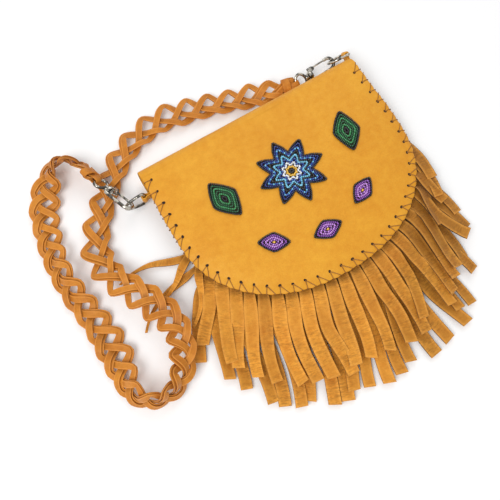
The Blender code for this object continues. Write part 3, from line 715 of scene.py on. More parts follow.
def strap_stations():
    """The strap's middle line, each point with the turn of the braid about it in degrees."""
    end = (STRAP_END_AT, 0.0, 0.0)
    left_end, right_end = (placed(end, clasp_frame(side)) for side in ("left", "right"))
    table = 4.8
    over = 16.0
    rows = [(*left_end, 55), (-154, 121, 15, 65), (-161, 133, 13.5, 70), (-172, 137, 12.5, 65)]
    rows += [(-184, 131, 9, 35), (-194, 119, 6, 10), (-203, 104, table, 0), (-209, 84, table, 0)]
    rows += [(-213, 60, 7.5, 28), (-215, 35, 9.0, 38), (-213, 12, 6.5, 15), (-210, -12, table, 0)]
    rows += [(-208, -38, table, 0), (-209, -60, 7, 22), (-209, -78, 11, 48), (-202, -91, 12.5, 68)]
    rows += [(-187, -97, 13, 76), (-170, -91, 15, 58), (-158, -77, over, 26), (-152, -58, over, 5)]
    rows += [(-153, -40, over, 0), (-161, -20, over, 0), (-170, -2, over, 0), (-177, 16, 13.5, 0)]
    rows += [(-179, 34, 8.5, 0), (-175, 51, 5.2, 0), (-165, 67, table, 0), (-152, 82, table, 0)]
    rows += [(-139, 96, table, 0), (-124, 109, table, 0), (-107, 119, table, 0), (-88, 126, table, 0)]
    rows += [(-66, 128, table, 0), (-44, 124, table, 0), (-22, 118, table, 0), (0, 111, table, 0)]
    rows += [(20, 104, 5.6, 8), (36, 98.5, 7.2, 20), (*right_end, 34)]
    return np.array(rows, float)


def strap_frames():
    """Middle line, way across and way up of the braid, and the distance along it."""
    line, along = resampled(rounded_line(strap_stations()), STRAP_STEP)
    middle = line[:, :3]
    turn = np.radians(line[:, 3:])
    tangents = unit(np.gradient(middle, axis=0))
    side = unit(np.cross(tangents, (0.0, 0.0, 1.0)))
    up = np.cross(side, tangents)
    across = side * np.cos(turn) - up * np.sin(turn)
    return middle, across, side * np.sin(turn) + up * np.cos(turn), along


def lace_outline(width, thickness):
    """A lace's section with close points at its edges, for a pale cut edge and a line of painted shade at the
    very edge.
    """
    half = width / 2
    thin = thickness / 2
    right = [(half - 1.1, thin), (half - 0.55, thin - 0.02), (half - 0.15, thin - 0.24), (half, 0.0)]
    right += [(half - 0.15, 0.24 - thin), (half - 0.8, -thin)]
    return np.array(right + [(0.0, -thin)] + [(-a, b) for a, b in right[::-1]] + [(0.0, thin)])


def strand_line(strand, middle, across, up, along):
    """One strand's line through the braid, its flat way and its upward way, and its phase."""
    near_end = np.minimum(along, along[-1] - along)
    swing = BRAID_SWING * (0.45 + 0.55 * smooth(near_end / 42.0))
    swing = swing * (1 + 0.06 * np.sin(along / 31.0) + 0.04 * np.sin(along / 12.7 + 2.0))
    turns = np.cumsum(np.gradient(along) / np.interp(along / along[-1], *BRAID_TURN))
    phase = 2 * np.pi * (turns + strand / 3) + 0.30 * np.sin(along / 58.0 + 0.6)
    sharp = 0.965
    sideways = swing * np.arcsin(sharp * np.sin(phase)) / math.asin(sharp)
    sideways += BRAID_OPEN * np.cos(2 * phase) * swing / BRAID_SWING
    sideways += 0.4 * np.sin(along / 23.0 + strand * 2.1) + 0.25 * np.sin(along / 7.3 + strand)
    lifted = BRAID_LIFT * np.sin(2 * phase)
    centre = middle + across * sideways[:, None] + up * lifted[:, None]
    ways = unit(np.gradient(centre, axis=0))
    flat = unit(np.cross(ways, up))
    normal = np.cross(flat, ways)
    lean = 0.18 * np.cos(phase) + 0.07 * np.sin(along / 11.0 + strand)
    leant = flat * np.cos(lean)[:, None] + normal * np.sin(lean)[:, None]
    return centre, leant, normal * np.cos(lean)[:, None] - flat * np.sin(lean)[:, None], phase


def make_strap(material):
    """Three strands, each of two flat laces laid half over one another, braided along the line."""
    middle, across, up, along = strap_frames()
    shape = Shape()
    outline = lace_outline(LACE_WIDTH, LACE_THICKNESS)
    edges = np.abs(outline[:, 0]) / np.abs(outline[:, 0]).max()
    pale = np.where((edges > 0.7) & (edges < 0.97), 0.9, 0.0)
    # Painted shade at each lace's very edge, for the shadow between the laces; the pale share is the cut
    # edge.
    dark = np.where(edges > 0.97, -0.55, 0.0)
    for strand in range(3):
        centre, flat, normal, phase = strand_line(strand, middle, across, up, along)
        # Painted shade where a strand passes under the others, and on the lower lace of each pair.
        under_shade_mask = (np.sin(2 * phase) < 0) * (1 - np.abs(np.sin(phase)))
        pinch = 1 - 0.12 * smooth((np.abs(np.sin(phase)) - 0.8) / 0.2)
        for layer in (-1, 1):
            slide = layer * (LACE_SLIDE + 0.5 * np.sin(along / 13.0 + strand * 1.7))
            path = centre + flat * slide[:, None] + normal * (layer * LACE_THICKNESS * 0.58)
            sections = outline[None] * np.stack([pinch, np.ones_like(pinch)], 1)[:, None]
            cup = 0.4 * (edges**2)[None] * np.sin(phase * 2)[:, None]
            sections = np.concatenate([sections[..., :1], sections[..., 1:] + cup[..., None]], 2)
            points, faces = sweep(path, flat, normal, sections)
            tone = np.repeat(-0.22 * under_shade_mask - 0.08 * (layer < 0), len(dark)) + np.tile(dark, len(path))
            tone = tone + 0.1 * (float(wobble(strand * 7 + layer)) - 0.5)
            shape.add(points, faces, tone, np.tile(pale, len(path)))
    strap = shape.finish("braided_strap", material, "bag", "strap")
    return strap, middle, float(distances(middle)[-1]) * MM


def ribbon_loop(shape, place):
    """A lace end that comes out of the braid, goes round the eye's wire and back in."""
    far = EYE_MIDDLE - EYE_HALF_LENGTH
    rows = [(-24.0, 0.0, 1.3), (-20.0, 0.0, 1.9), (-16.5, 0.0, 2.5), (far - 0.6, 0.0, 2.5)]
    for t in np.radians((70, 45, 20, 0, -20, -45, -70)):
        rows.append((far + LOOP_RADIUS * math.cos(t), 0.0, LOOP_RADIUS * math.sin(t)))
    rows += [(far - 0.6, 0.0, -2.5), (-16.5, 0.0, -2.5), (-20.0, 0.0, -1.9), (-24.0, 0.0, -1.3)]
    path, _ = resampled(rounded_line(rows, 6), step=0.7)
    sides = np.broadcast_to((0.0, 1.0, 0.0), path.shape)
    shape.lace(path, sides, np.cross(sides, unit(np.gradient(path, axis=0))), *LOOP_LACE, place=place)


def ribbon_wrap(shape, middle, across, up):
    """A narrow lace wound twice round the end of the braid."""
    turns = np.linspace(0, 2 * math.pi * WRAP_TURNS, 90)
    where = np.linspace(0, len(middle) - 1, 90)
    centre = np.stack([np.interp(where, np.arange(len(middle)), middle[:, k]) for k in range(3)], 1)
    a = across[len(across) // 2]
    u = up[len(up) // 2]
    wide, high = WRAP_HALF
    path = centre + np.cos(turns)[:, None] * a * wide + np.sin(turns)[:, None] * u * high
    ways = unit(np.gradient(path, axis=0))
    normal = unit(np.cos(turns)[:, None] * a / wide + np.sin(turns)[:, None] * u / high)
    sides = unit(np.cross(ways, normal))
    shape.lace(path, sides, np.cross(ways, sides), *WRAP_LACE, 0.03)


def make_strap_ends(material):
    middle, across, up, _ = strap_frames()
    made = []
    for side in ("left", "right"):
        shape = Shape()
        ribbon_loop(shape, clasp_frame(side))
        part = slice(3, 8) if side == "left" else slice(-8, -3)
        ribbon_wrap(shape, middle[part], across[part], up[part])
        made.append(shape.finish(f"strap_loop_{side}", material, "bag"))
    return made


# Flap, fold and body surfaces


def flap_half_width(y):
    belly = np.cos(np.pi * np.clip((y - 20.0) / 75.0, -1.0, 1.0) / 2)
    return FLAP_HALF_WIDTH + FLAP_BELLY * belly - smooth((y - 30.0) / 45.0)


def flap_bottom(across, inset=0.0):
    reach = np.maximum(0.0, 1 - across**FLAP_CURVE_POWER) ** (1 / FLAP_CURVE_POWER)
    return FLAP_CURVE_START_Y - (FLAP_CURVE_DEPTH - inset) * reach


def flap_height(x, y):
    """Top surface of the closed flap, before its small dents and puffs."""
    across = np.minimum(1.0, np.abs(x) / flap_half_width(y))
    top = FOLD_CENTRE_Y - FOLD_SLIT / 2
    v = np.clip((top - y) / (top - flap_bottom(across)), 0.0, 1.0)
    side = 1 - 0.42 * across**6 * smooth(v / 0.4)
    return FLAP_EDGE_Z + (FOLD_TOP_Z - FLAP_EDGE_Z) * (1 - v**2.4) * side


def flap_edge_line():
    """The flap's edge seen from above, from the left end of the fold round to the right one."""
    side = [(-float(flap_half_width(y)), y) for y in np.linspace(LACING_TOP, FLAP_CURVE_START_Y, 40)[:-1]]
    share = np.sin(np.linspace(-np.pi / 2, np.pi / 2, 161))
    curve = [(float(flap_half_width(flap_bottom(abs(a)))) * a, float(flap_bottom(abs(a)))) for a in share]
    return np.array(side + curve + [(-x, y) for x, y in side[::-1]])


@functools.cache
def lacing_places():
    """Each lacing hole, the edge point square to it, and the way in from the edge."""
    line = flap_edge_line()
    count = int(round(distances(line)[-1] / HOLE_SPACING))
    fine, _ = resampled(line, count=count * 8 + 1)
    ways = unit(np.gradient(fine, axis=0))
    inward = np.stack([-ways[:, 1], ways[:, 0]], 1)
    inward *= np.where((inward * (np.array([0.0, 20.0]) - fine)).sum(1) > 0, 1, -1)[:, None]
    pick = np.arange(count) * 8 + 3
    shift = (wobble(np.arange(count)) - 0.5) * 0.9
    inset = np.interp(np.abs(inward[pick, 0]), (0.3, 0.95), HOLE_INSET) + shift
    holes = fine[pick] + inward[pick] * inset[:, None]
    slanted = np.minimum(pick + 5, len(fine) - 1)
    return holes, fine[pick], inward[pick], fine[slanted], inward[slanted]


def dents(x, y):
    """Small height changes: a dent at each hole, a puff between the threads, and soft waves."""
    holes, edges = lacing_places()[:2]
    x = np.asarray(x, float)
    y = np.asarray(y, float)
    given = np.zeros(x.shape)
    for hx, hy in holes:
        given -= HOLE_DENT * np.exp(-((x - hx) ** 2 + (y - hy) ** 2) / 2.6)
    for mx, my in (holes[1:] + holes[:-1]) / 2 * 0.35 + (edges[1:] + edges[:-1]) / 2 * 0.65:
        given += LACING_PUFF * np.exp(-((x - mx) ** 2 + (y - my) ** 2) / 10.0)
    given += 0.16 * np.sin(x / 19.0 + 1.0) * np.sin(y / 27.0 + 2.0)
    ridge = smooth((y - 50.0) / 24.0)
    given += 0.10 * ridge * np.sin(x / 6.5 + 1.5 * np.sin(y / 9.0)) * np.sin(x / 29.0)
    return given


def leather_top(x, y):
    return flap_height(x, y) + dents(x, y)


def drawn_in(x, y):
    """How far each point near the edge is pulled inwards by the lacing threads."""
    _, edges, inward, slanted, slanted_inward = lacing_places()
    dx = np.zeros(np.shape(x))
    dy = np.zeros(np.shape(x))
    pulls = ((edges, inward, *EDGE_PULL), (slanted, slanted_inward, *SLANT_PULL))
    for points, ways, pull, reach in pulls:
        for (ex, ey), (wx, wy) in zip(points, ways):
            near = pull * np.exp(-((x - ex) ** 2 + (y - ey) ** 2) / reach)
            dx += near * wx
            dy += near * wy
    return dx, dy


def squarely(x, y, height, depth):
    """The point that lies at a depth squarely under a height field."""
    slope_x = height(x + 0.5, y) - height(x - 0.5, y)
    slope_y = height(x, y + 0.5) - height(x, y - 0.5)
    normal = unit(np.stack([-slope_x, -slope_y, np.ones_like(slope_x)], -1))
    return np.stack([x, y, height(x, y)], -1) - normal * np.asarray(depth)[..., None]


def panel(shape, surface, columns, rows, rim, tone=None, open_rows=()):
    """A closed sheet over u in -1..1 and v in 0..1.

    The rim lists (inset, depth) round its edge, from the top to the underside.
    """
    u, v = np.meshgrid(np.linspace(-1, 1, columns), np.linspace(0, 1, rows))
    top = surface(u, v, rim[0][0], rim[0][1])
    under = surface(u, v, rim[-1][0], rim[-1][1])
    border = [(0, j) for j in range(columns)] + [(i, columns - 1) for i in range(1, rows)]
    border += [(rows - 1, j) for j in range(columns - 2, -1, -1)] + [(i, 0) for i in range(rows - 2, 0, -1)]
    border = np.array(border)
    count = rows * columns
    points = [top.reshape(-1, 3), under.reshape(-1, 3)]
    loops = [border[:, 0] * columns + border[:, 1]]
    start = 2 * count
    for inset, depth in rim[1:-1]:
        points.append(surface(u[tuple(border.T)], v[tuple(border.T)], inset, depth))
        loops.append(np.arange(start, start + len(border)))
        start += len(border)
    loops.append(count + loops[0])
    faces = grid_faces(rows, columns)
    faces += [tuple(i + count for i in face)[::-1] for face in faces]
    size = len(border)
    for first, second in zip(loops, loops[1:]):
        for k in range(size):
            m = (k + 1) % size
            if border[k][0] in open_rows and border[m][0] == border[k][0]:
                continue
            faces.append((first[k], second[k], second[m], first[m]))
    points = np.concatenate(points)
    edge = np.zeros(len(points))
    shade = np.zeros(len(points)) if tone is None else tone(points)
    # Upper rim loops are paler as cut edge; lower ones get painted shade under the sheet's edge.
    for loop, (_, depth) in zip(loops[1:-1], rim[1:-1]):
        if depth < 0.6:
            edge[loop] = 0.6
        else:
            shade[loop] -= 0.55
    shape.add(points, faces, shade, edge)


ROUND_RIM = [(0.8, 0.0), (0.22, 0.28), (0.0, 0.9), (0.2, 1.6), (0.8, 2.0)]


def flap_sheet(u, v, inset, depth):
    across = np.sin(u * np.pi / 2)
    y = FOLD_CENTRE_Y + (flap_bottom(np.abs(across), inset) - FOLD_CENTRE_Y) * v
    x = (flap_half_width(y) - inset * smooth(v / 0.03)) * across
    dx, dy = drawn_in(x, y)
    return squarely(x + dx, y + dy, leather_top, np.broadcast_to(depth, x.shape))


def lining_sheet(u, v, inset, depth):
    across = np.sin(u * np.pi / 2)
    top = FOLD_CENTRE_Y - FOLD_SLIT / 2 - 2.0
    bottom = flap_bottom(np.abs(across), inset + 2.0)
    y = top + (bottom - top) * v
    x = (flap_half_width(y) - inset - 2.0) * across
    return squarely(x, y, flap_height, np.broadcast_to(depth + LEATHER + LINING_GAP, x.shape))


def body_half_width(y):
    widen = smooth((y - FOLD_CENTRE_Y + NECK_BELOW_FOLD) / NECK_HEIGHT)
    return BODY_HALF_WIDTH + (flap_half_width(FOLD_CENTRE_Y) - BODY_HALF_WIDTH) * widen


def body_bottom(u):
    return FLAP_CURVE_START_Y - BODY_CURVE_DEPTH * np.cos(u * np.pi / 2)


def back_sheet(u, v, inset, depth):
    """The outside of the back from its bottom edge to the fold, then round the fold."""
    straight = 0.5
    bottom = body_bottom(u)
    y = bottom + inset + (FOLD_CENTRE_Y - bottom - inset) * np.minimum(1.0, v / straight)
    turn = np.pi * np.clip((v - straight) / (1 - straight), 0.0, 1.0)
    radius = FOLD_RADIUS - depth
    wide = body_half_width(y) - inset * smooth((1 - v) / 0.03)
    x = wide * np.sin(u * np.pi / 2)
    ripple = 0.10 * np.sin(x / 6.5) * np.sin(x / 29.0) * np.sin(turn) ** 2
    out = radius + ripple
    return np.stack([x, y + out * np.sin(turn), FOLD_RADIUS - out * np.cos(turn)], -1)


def front_height(x, y):
    across = np.minimum(1.0, np.abs(x) / BODY_HALF_WIDTH)
    bottom = body_bottom(np.arcsin(across) * 2 / np.pi)
    v = np.clip((MOUTH_Y - y) / np.maximum(1e-6, MOUTH_Y - bottom), 0.0, 1.0)
    dome = FRONT_FLANGE_Z + FRONT_DOME * (1 - across**5) * (1 - v**3.2)
    pocket = SNAP_POCKET * smooth((28.0 - np.hypot(x, y - SNAP_Y)) / 12.0)
    under = flap_height(x, y) - LEATHER - LINING_GAP - LINING
    return np.maximum(FRONT_FLANGE_Z, np.minimum(dome, under - FRONT_UNDER_FLAP) - pocket)


def front_sheet(u, v, inset, depth):
    bottom = body_bottom(u) + inset
    y = MOUTH_Y - inset + (bottom - MOUTH_Y + inset) * v
    x = (BODY_HALF_WIDTH - inset) * np.sin(u * np.pi / 2)
    return np.stack([x, y, front_height(x, y) - depth], -1)


def flap_painted_shade(points):
    """Painted shade: the flap is a little darker where it curves down."""
    return -0.05 * smooth((14.5 - points[:, 2]) / 4.0)


def make_flap(outer, lining):
    shape = Shape()
    panel(shape, flap_sheet, 231, 151, ROUND_RIM, flap_painted_shade, (0,))
    shape.finish("flap_leather", outer, "flap_body", "flap")
    shape = Shape()
    panel(shape, lining_sheet, 101, 71, [(0.3, 0.0), (0.0, 0.5), (0.3, 1.0)])
    shape.finish("flap_suede", lining, "flap_body", "flap_lining")


def make_back(outer):
    shape = Shape()
    panel(shape, back_sheet, 121, 121, ROUND_RIM, None, (120,))
    back = shape.finish("back_leather", outer, None, "back_panel")
    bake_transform(back)


def make_front(outer):
    shape = Shape()
    rim = [(0.5, 0.0), (0.0, 0.5), (0.0, 1.3), (0.5, 1.8)]
    panel(shape, front_sheet, 141, 101, rim)
    shape.finish("front_leather", outer, "bag", "front_panel")


# Hand lacing


def make_lacing(thread, dark):
    holes, edges, inward, slanted, slanted_inward = lacing_places()
    shape = Shape()
    for k, hole in enumerate(holes):
        for edge, way in ((edges[k], inward[k]), (slanted[k], slanted_inward[k])):
            add_leg(shape, hole, edge, way, k)
    shape.finish("lacing_thread", thread, "flap_body")
    shape = Shape()
    # Dark discs at the holes: painted shade standing in for the depth of each punched hole.
    for k, (hx, hy) in enumerate(holes):
        angles = 2 * np.pi * np.arange(14) / 14
        radius = HOLE_RADIUS * (1 + 0.14 * np.sin(angles * 2 + k)) * (0.9 + 0.2 * wobble(k + 5))
        x = np.concatenate([[hx], hx + 0.55 * radius * np.cos(angles), hx + radius * np.cos(angles)])
        y = np.concatenate([[hy], hy + 0.55 * radius * np.sin(angles), hy + radius * np.sin(angles)])
        z = np.maximum(leather_top(x, y), leather_top(hx + 2.0, hy) - 0.35) + 0.1
        faces = [(0, 1 + i, 1 + (i + 1) % 14) for i in range(14)]
        faces += [(1 + i, 15 + i, 15 + (i + 1) % 14, 1 + (i + 1) % 14) for i in range(14)]
        shape.add(np.stack([x, y, z], 1), faces)
    shape.finish("lacing_hole_shade", dark, "flap_body")


def add_leg(shape, hole, edge, way, seed):
    """One leg of thread from its hole over the flap's edge to the underside."""
    out = edge + way * 0.55
    top = [hole + (out - hole) * t for t in np.linspace(0.0, 1.0, 9)]
    path = []
    for t, (x, y) in zip(np.linspace(0.0, 1.0, 9), top):
        lift = 0.38 - 0.75 * (1 - smooth(t / 0.14)) - 0.15 * t
        path.append((x, y, float(leather_top(x, y)) + lift))
    rim = float(leather_top(*(edge + way * 0.8)))
    for reach, drop in ((0.12, 0.35), (-0.15, 1.0), (0.1, 1.8), (0.9, 2.5), (2.4, 2.6)):
        x, y = edge + way * (0.42 + reach)
        path.append((x, y, rim - drop))
    thick = THREAD_RADIUS * (0.92 + 0.16 * float(wobble(seed + 3)))
    shape.run(rounded_line(path, 3), circle(thick, 7), (0.13, 0.21, 1.0))


# Fringe


def seam_curve(s, out=0.0):
    """Points of the seam moved outwards, and the way out at each."""
    angle = np.asarray(s, float) * np.pi / 2
    x = BODY_HALF_WIDTH * np.sin(angle)
    y = FLAP_CURVE_START_Y - BODY_CURVE_DEPTH * np.cos(angle)
    normal = unit(np.stack([np.sin(angle) / BODY_HALF_WIDTH, -np.cos(angle) / BODY_CURVE_DEPTH], -1))
    return np.stack([x, y], -1) + normal * np.asarray(out)[..., None], normal


def seam_line(side_out, out, rise):
    """Points up the left side, round the bottom with its own way out, and up the right side."""
    curve, _ = seam_curve(np.linspace(-1, 1, len(out)), out)
    left = np.stack([np.full(len(rise), -(BODY_HALF_WIDTH + side_out)), rise], 1)
    return np.concatenate([left, curve, (left * (-1.0, 1.0))[::-1]])


def seam_positions(count, end):
    """Where the cuts between the strips meet the seam, at the spacing of count strips in the solid."""
    fine = np.linspace(FRINGE_ENDS[0], 0.99, 501)
    lengths = distances(seam_curve(fine)[0])
    spacing = np.interp(FRINGE_ENDS[1], fine, lengths) / count
    shown = int(round(float(np.interp(end, fine, lengths)) / spacing))
    return np.interp(np.arange(shown + 1) * spacing, lengths, fine)


def strip_heading(s, side, t):
    """A strip leaves square to the seam and turns to the way it falls."""
    square = np.degrees(side) * np.interp(s, *STRIP_SQUARE)
    fallen = np.interp(s, *STRIP_FALL)
    return np.radians(square + (fallen - square) * smooth((t - 0.04) / np.interp(s, *STRIP_TURN)))


def strip_bends(index, s, t, front):
    """Extra turns of a strip's way: shared waves, its own kink, and loose ends on the right."""
    key = index + (31.0 if front else 77.0)
    shared = SHARED_BEND * np.sin(2 * np.pi * (0.85 * t + 0.06 * index + (0.0 if front else 0.4)))
    kink_at = 0.34 + 0.16 * float(wobble(key + 5))
    kink = FRONT_KINK if front else BACK_KINK
    own = (float(wobble(key)) - 0.5) * kink * smooth((t - kink_at) / 0.12)
    loose = smooth((s - 0.2) / 0.35) * (float(wobble(key + 9)) - 0.5) * LOOSE_BEND * smooth((t - 0.2) / 0.4)
    loose += SPREAD_BEND * math.exp(-(((s - 0.4) / 0.16) ** 2)) * smooth((t - 0.3) / 0.4)
    stray = (FRONT_STRAY if front else BACK_STRAY) * (index < STRAY_STRIPS) * np.sin(np.pi * t)
    return np.radians(smooth(t / 0.18) * (shared + own + loose) + stray)


def strip_line(index, s, length, front):
    """One strip's middle line, way, roll and height from the seam to its tip, and its length."""
    start, normal = seam_curve(s, BAND_OUT)
    side = math.atan2(normal[0], -normal[1])
    reach = length * np.interp(s, *STRIP_REACH) * np.interp(s, *STRIP_SHORTENED)
    reach *= 0.95 + 0.1 * float(wobble(index + (31 if front else 77)))
    t = np.linspace(0, 1, STRIP_STEPS + 1)
    heading = strip_heading(s, side, np.minimum(1.0, t + 0.5 / SOLID_STRIP_STEPS))
    heading = heading + strip_bends(index, s, t, front)
    way = np.stack([np.sin(heading), -np.cos(heading)], 1)
    steps = way[1:] * reach / STRIP_STEPS
    centre = start + np.concatenate([np.zeros((1, 2)), np.cumsum(steps, axis=0)])
    spacing = np.maximum(LEAST_SPACING, STRIP_SPACING * np.cos(side - heading))
    needed = np.arctan((FRINGE_LEATHER + 0.5) / spacing)
    roll = needed * smooth((STRIP_SPACING - 0.1 - spacing) / 0.7) * smooth((t - 0.1) / 0.3)
    if s > FRINGE_ENDS[1]:
        roll = math.radians(EXTRA_STRIP_ROLL) * smooth(t / 0.3)
    return centre, way, roll, strip_height(front, index, s, t, roll, reach), t, reach


def strip_height(front, index, s, t, roll, length):
    """A strip comes down from its band to where it rests, with waves, odd strips over even ones."""
    band, wave, seed = BACK_BAND_Z, BACK_STRIP_WAVE, 11
    if front:
        band, wave, seed = FRONT_BAND_Z, FRONT_STRIP_WAVE, 230
    rise = 0.5 * STRIP_SHOWN_WIDTH * np.tan(roll)
    if s > FRINGE_ENDS[1]:
        return band + 0.12 * length * t + 0.4 + rise
    calm = np.interp(s, *STRIP_CALM) * (1.0 - smooth(np.degrees(roll) / 12.0) * 0.8)
    rest = 0.3 + 0.6 * FRINGE_LEATHER + rise
    if front:
        rest = rest + 1.2 * FRINGE_LEATHER + 1.2 * rise + 0.5 + BACK_STRIP_WAVE * calm
    phase, rate, share = wobble(seed + index + np.array([0, 50, 90]))
    size = wave * calm * (0.35 + 0.65 * share) * smooth(t / 0.5)
    bump = 0.5 - 0.5 * np.cos(2 * np.pi * ((0.8 + 0.9 * rate) * t + phase))
    over = ODD_STRIPS_OVER * (index % 2) * smooth((t - 0.03) / 0.12)
    late = 0.14 * smooth((s - 0.4) / 0.2)
    return band + (rest - band) * smooth((t - 0.02 - late) / 0.28) + size * bump + over


def strip_half_widths(index, s, t, front, key, spare):
    """Drawn in near the root, a little tapered, and thin where the first strips stray."""
    half = 0.5 * (STRIP_ROOT_WIDTH + (STRIP_SHOWN_WIDTH - STRIP_ROOT_WIDTH) * smooth((t - 0.04) / 0.14))
    half = half * (1.0 - (0.06 if front else 0.12) * t) * (0.98 + 0.03 * np.sin(t * 9 + key))
    half = half * (1.0 - 0.12 * spare[4] * smooth((t - 0.3) / 0.5))
    drawn = (0.12 + 0.3 * smooth((-0.35 - s) / 0.3)) * spare[5] + 0.03
    half = half * (1.0 - drawn * np.exp(-(((t - 0.13) / 0.1) ** 2)))
    if index < STRAY_STRIPS:
        half = half * (0.66 - (0.48 - 0.02 * index) * smooth((t - 0.05) / 0.95))
    return half


def strip_tone_and_painted_shade(s, t, reach, front, key, spare, loose):
    """Random tone and painted shade: darker near the root under the flap, in the long back layer below the
    front one, and on the right.
    """
    tone = (spare[3] - 0.5) * 0.2 - (0.0 if front else 0.07) - 0.08 * loose + 0.05 * np.sin(t * 5 + key)
    tone = tone - 0.12 * (1 - smooth(t / 0.3)) - RIGHT_PAINTED_SHADE * smooth((s + 0.1) / 0.5)
    # Painted shade just under the flap's edge.
    tone -= UNDER_FLAP_PAINTED_SHADE * (1 - smooth((t * reach - UNDER_FLAP_REACH) / 4.4))
    # Painted shade among the loose strips on the right, fading towards the tips.
    tone -= loose * (0.2 + 0.3 * spare[6]) * (1 - smooth((t - 0.55) / 0.4))
    return np.maximum(tone, DARKEST_STRIP)[:, None]


def add_strip(shape, index, s, length, front):
    """One cut strip with its own cup, curl, tone, painted shade and slightly slanted end."""
    centre, way, roll, height, t, reach = strip_line(index, s, length, front)
    key = index + (400 if front else 700)
    spare = wobble(np.arange(8) + key * 3.7)
    loose = smooth((s - 0.25) / 0.35)
    share = np.array([[-1.0, -0.9, -0.5, 0.0, 0.5, 0.9, 1.0]])
    half = strip_half_widths(index, s, t, front, key, spare)[:, None]
    roll, down = roll[:, None], t[:, None]
    across = np.stack([-way[:, 1], way[:, 0]], 1)
    cup = (0.25 + (0.55 + 0.5 * loose) * spare[0]) * (0.7 if front else 0.35) * smooth(down / 0.25)
    twist = (spare[1] - 0.5) * (0.2 + 0.6 * loose if front else 0.06) * smooth((down - 0.15) / 0.6)
    tilt = (twist - np.tan(roll)) * half * share
    bend = cup * share**2 + 0.08 * np.sin(down * 31 + key + share * 2)
    slant = (spare[2] - 0.5) * 2.2 * smooth((down - 0.9) / 0.1) * share
    plan = centre[:, None] + across[:, None] * (half * np.cos(roll) * share)[..., None]
    plan = plan + way[:, None] * slant[..., None]
    top = np.concatenate([plan, (height[:, None] + tilt + bend + STRIP_SHEET / 2)[..., None]], 2)
    under = top - (0.0, 0.0, STRIP_SHEET)
    rows, columns = top.shape[:2]
    faces = grid_faces(rows, columns * 2, True)
    last = (rows - 1) * columns * 2
    for k in range(columns - 1):
        faces.append((last + k, last + k + 1, last + 2 * columns - 2 - k, last + 2 * columns - 1 - k))
        faces.append((k + 1, k, 2 * columns - 1 - k, 2 * columns - 2 - k))
    edge = np.tile(np.where(np.abs(share) == 0.9, 0.8, 0.0), (rows, 2))
    edge[-1] = 1.0
    # Painted shade on the strip's cut sides, and more of it on the underside.
    rim = np.where(np.abs(share) == 1.0, -0.4, 0.0)
    tone = strip_tone_and_painted_shade(s, t, reach, front, key, spare, loose) + np.hstack([rim, rim - 0.2])
    u = np.hstack([share, share[:, ::-1]]) * half / 10 + key * 1.37
    v = np.broadcast_to(down * reach / 10 + key * 2.11, u.shape)
    ring = np.concatenate([top, under[:, ::-1]], 1)
    shape.add(ring, faces, tone.ravel(), edge.ravel(), 0.0, np.stack([u, v], -1))
    return float((half[1:] * 2).mean() * reach)


def add_band(shape, height):
    """The uncut band of a fringe, sewn into the seam round the bag."""
    s = np.linspace(-1, 1, 161)
    rise = np.linspace(MOUTH_Y - 1.0, FLAP_CURVE_START_Y, 12)[:-1]
    inner = seam_line(-BAND_DEPTH, np.full(161, -BAND_DEPTH), rise)
    out = np.where((s > FRINGE_ENDS[0]) & (s < BACK_SHOWN_END), BAND_OUT + 0.6, -0.6)
    outer = seam_line(-0.6, out, rise)
    high = height + STRIP_SHEET / 2 - 0.02
    low = high - STRIP_SHEET + 0.04
    corners = ((inner, high), (outer, high), (outer, low), (inner, low))
    ring = np.stack([np.column_stack([line, np.full(len(line), z)]) for line, z in corners], 1)
    # The band is darkened by painted shade, as the flap overhangs it.
    shape.add(ring, grid_faces(len(inner), 4, True) + end_faces(len(inner), 4), BAND_PAINTED_SHADE)
    return float(np.linalg.norm(outer - inner, axis=1).mean() * distances((inner + outer) / 2)[-1])


def make_fringe(material):
    for name, strips, length, front, end, band in (
        ("fringe_back", STRIPS, BACK_STRIP_LENGTH, False, BACK_SHOWN_END, BACK_BAND_Z),
        ("fringe_front", STRIPS - 1, FRONT_STRIP_LENGTH, True, FRINGE_ENDS[1], FRONT_BAND_Z),
    ):
        shape = Shape()
        slots = seam_positions(strips, end)
        area = add_band(shape, band)
        for index, s in enumerate((slots[1:] + slots[:-1]) / 2):
            area += add_strip(shape, index, s, length, front)
        piece = shape.finish(f"{name}_leather", material, "bag", name)
        area = area * MM * MM


# Beadwork


def add_beads(shape, line, colours, seed):
    """A sewn row of beads along a line on the flap, each a dimpled bead turned along it."""
    line, _ = resampled(line, count=max(4, int(round(distances(line)[-1] / BEAD_GAP)) + 1))
    middle = (line[1:] + line[:-1]) / 2
    ways = unit(line[1:] - line[:-1])
    profile = [(-0.62, 0.42), (-0.74, 0.72), (-0.5, 1.0), (0.0, 1.1), (0.5, 1.0), (0.74, 0.72), (0.62, 0.42)]
    template, faces = lathe(profile, 9)
    sizes = BEAD_SIZE * (0.94 + 0.1 * wobble(np.arange(len(middle)) * 1.3 + seed))
    for k, ((x, y), (wx, wy)) in enumerate(zip(middle, ways)):
        slope = float(leather_top(x + wx, y + wy) - leather_top(x - wx, y - wy)) / 2
        first = unit((wx, wy, slope))
        lean = 0.25 * (float(wobble(k * 2.3 + seed)) - 0.5)
        third = unit(np.cross(first, unit((-wy, wx, lean))))
        jitter = (float(wobble(k * 3.1 + seed)) - 0.5) * 0.22
        centre = (x - wy * jitter, y + wx * jitter, float(leather_top(x, y)) + BEAD_FOOT + BEAD_SIZE)
        points = template * sizes[k] @ np.stack([first, np.cross(third, first), third]) + centre
        pick = colours[k % len(colours)] if isinstance(colours, tuple) else colours
        shape.add(points, faces, (float(wobble(k + seed)) - 0.5) * 0.3, 0.0, pick)


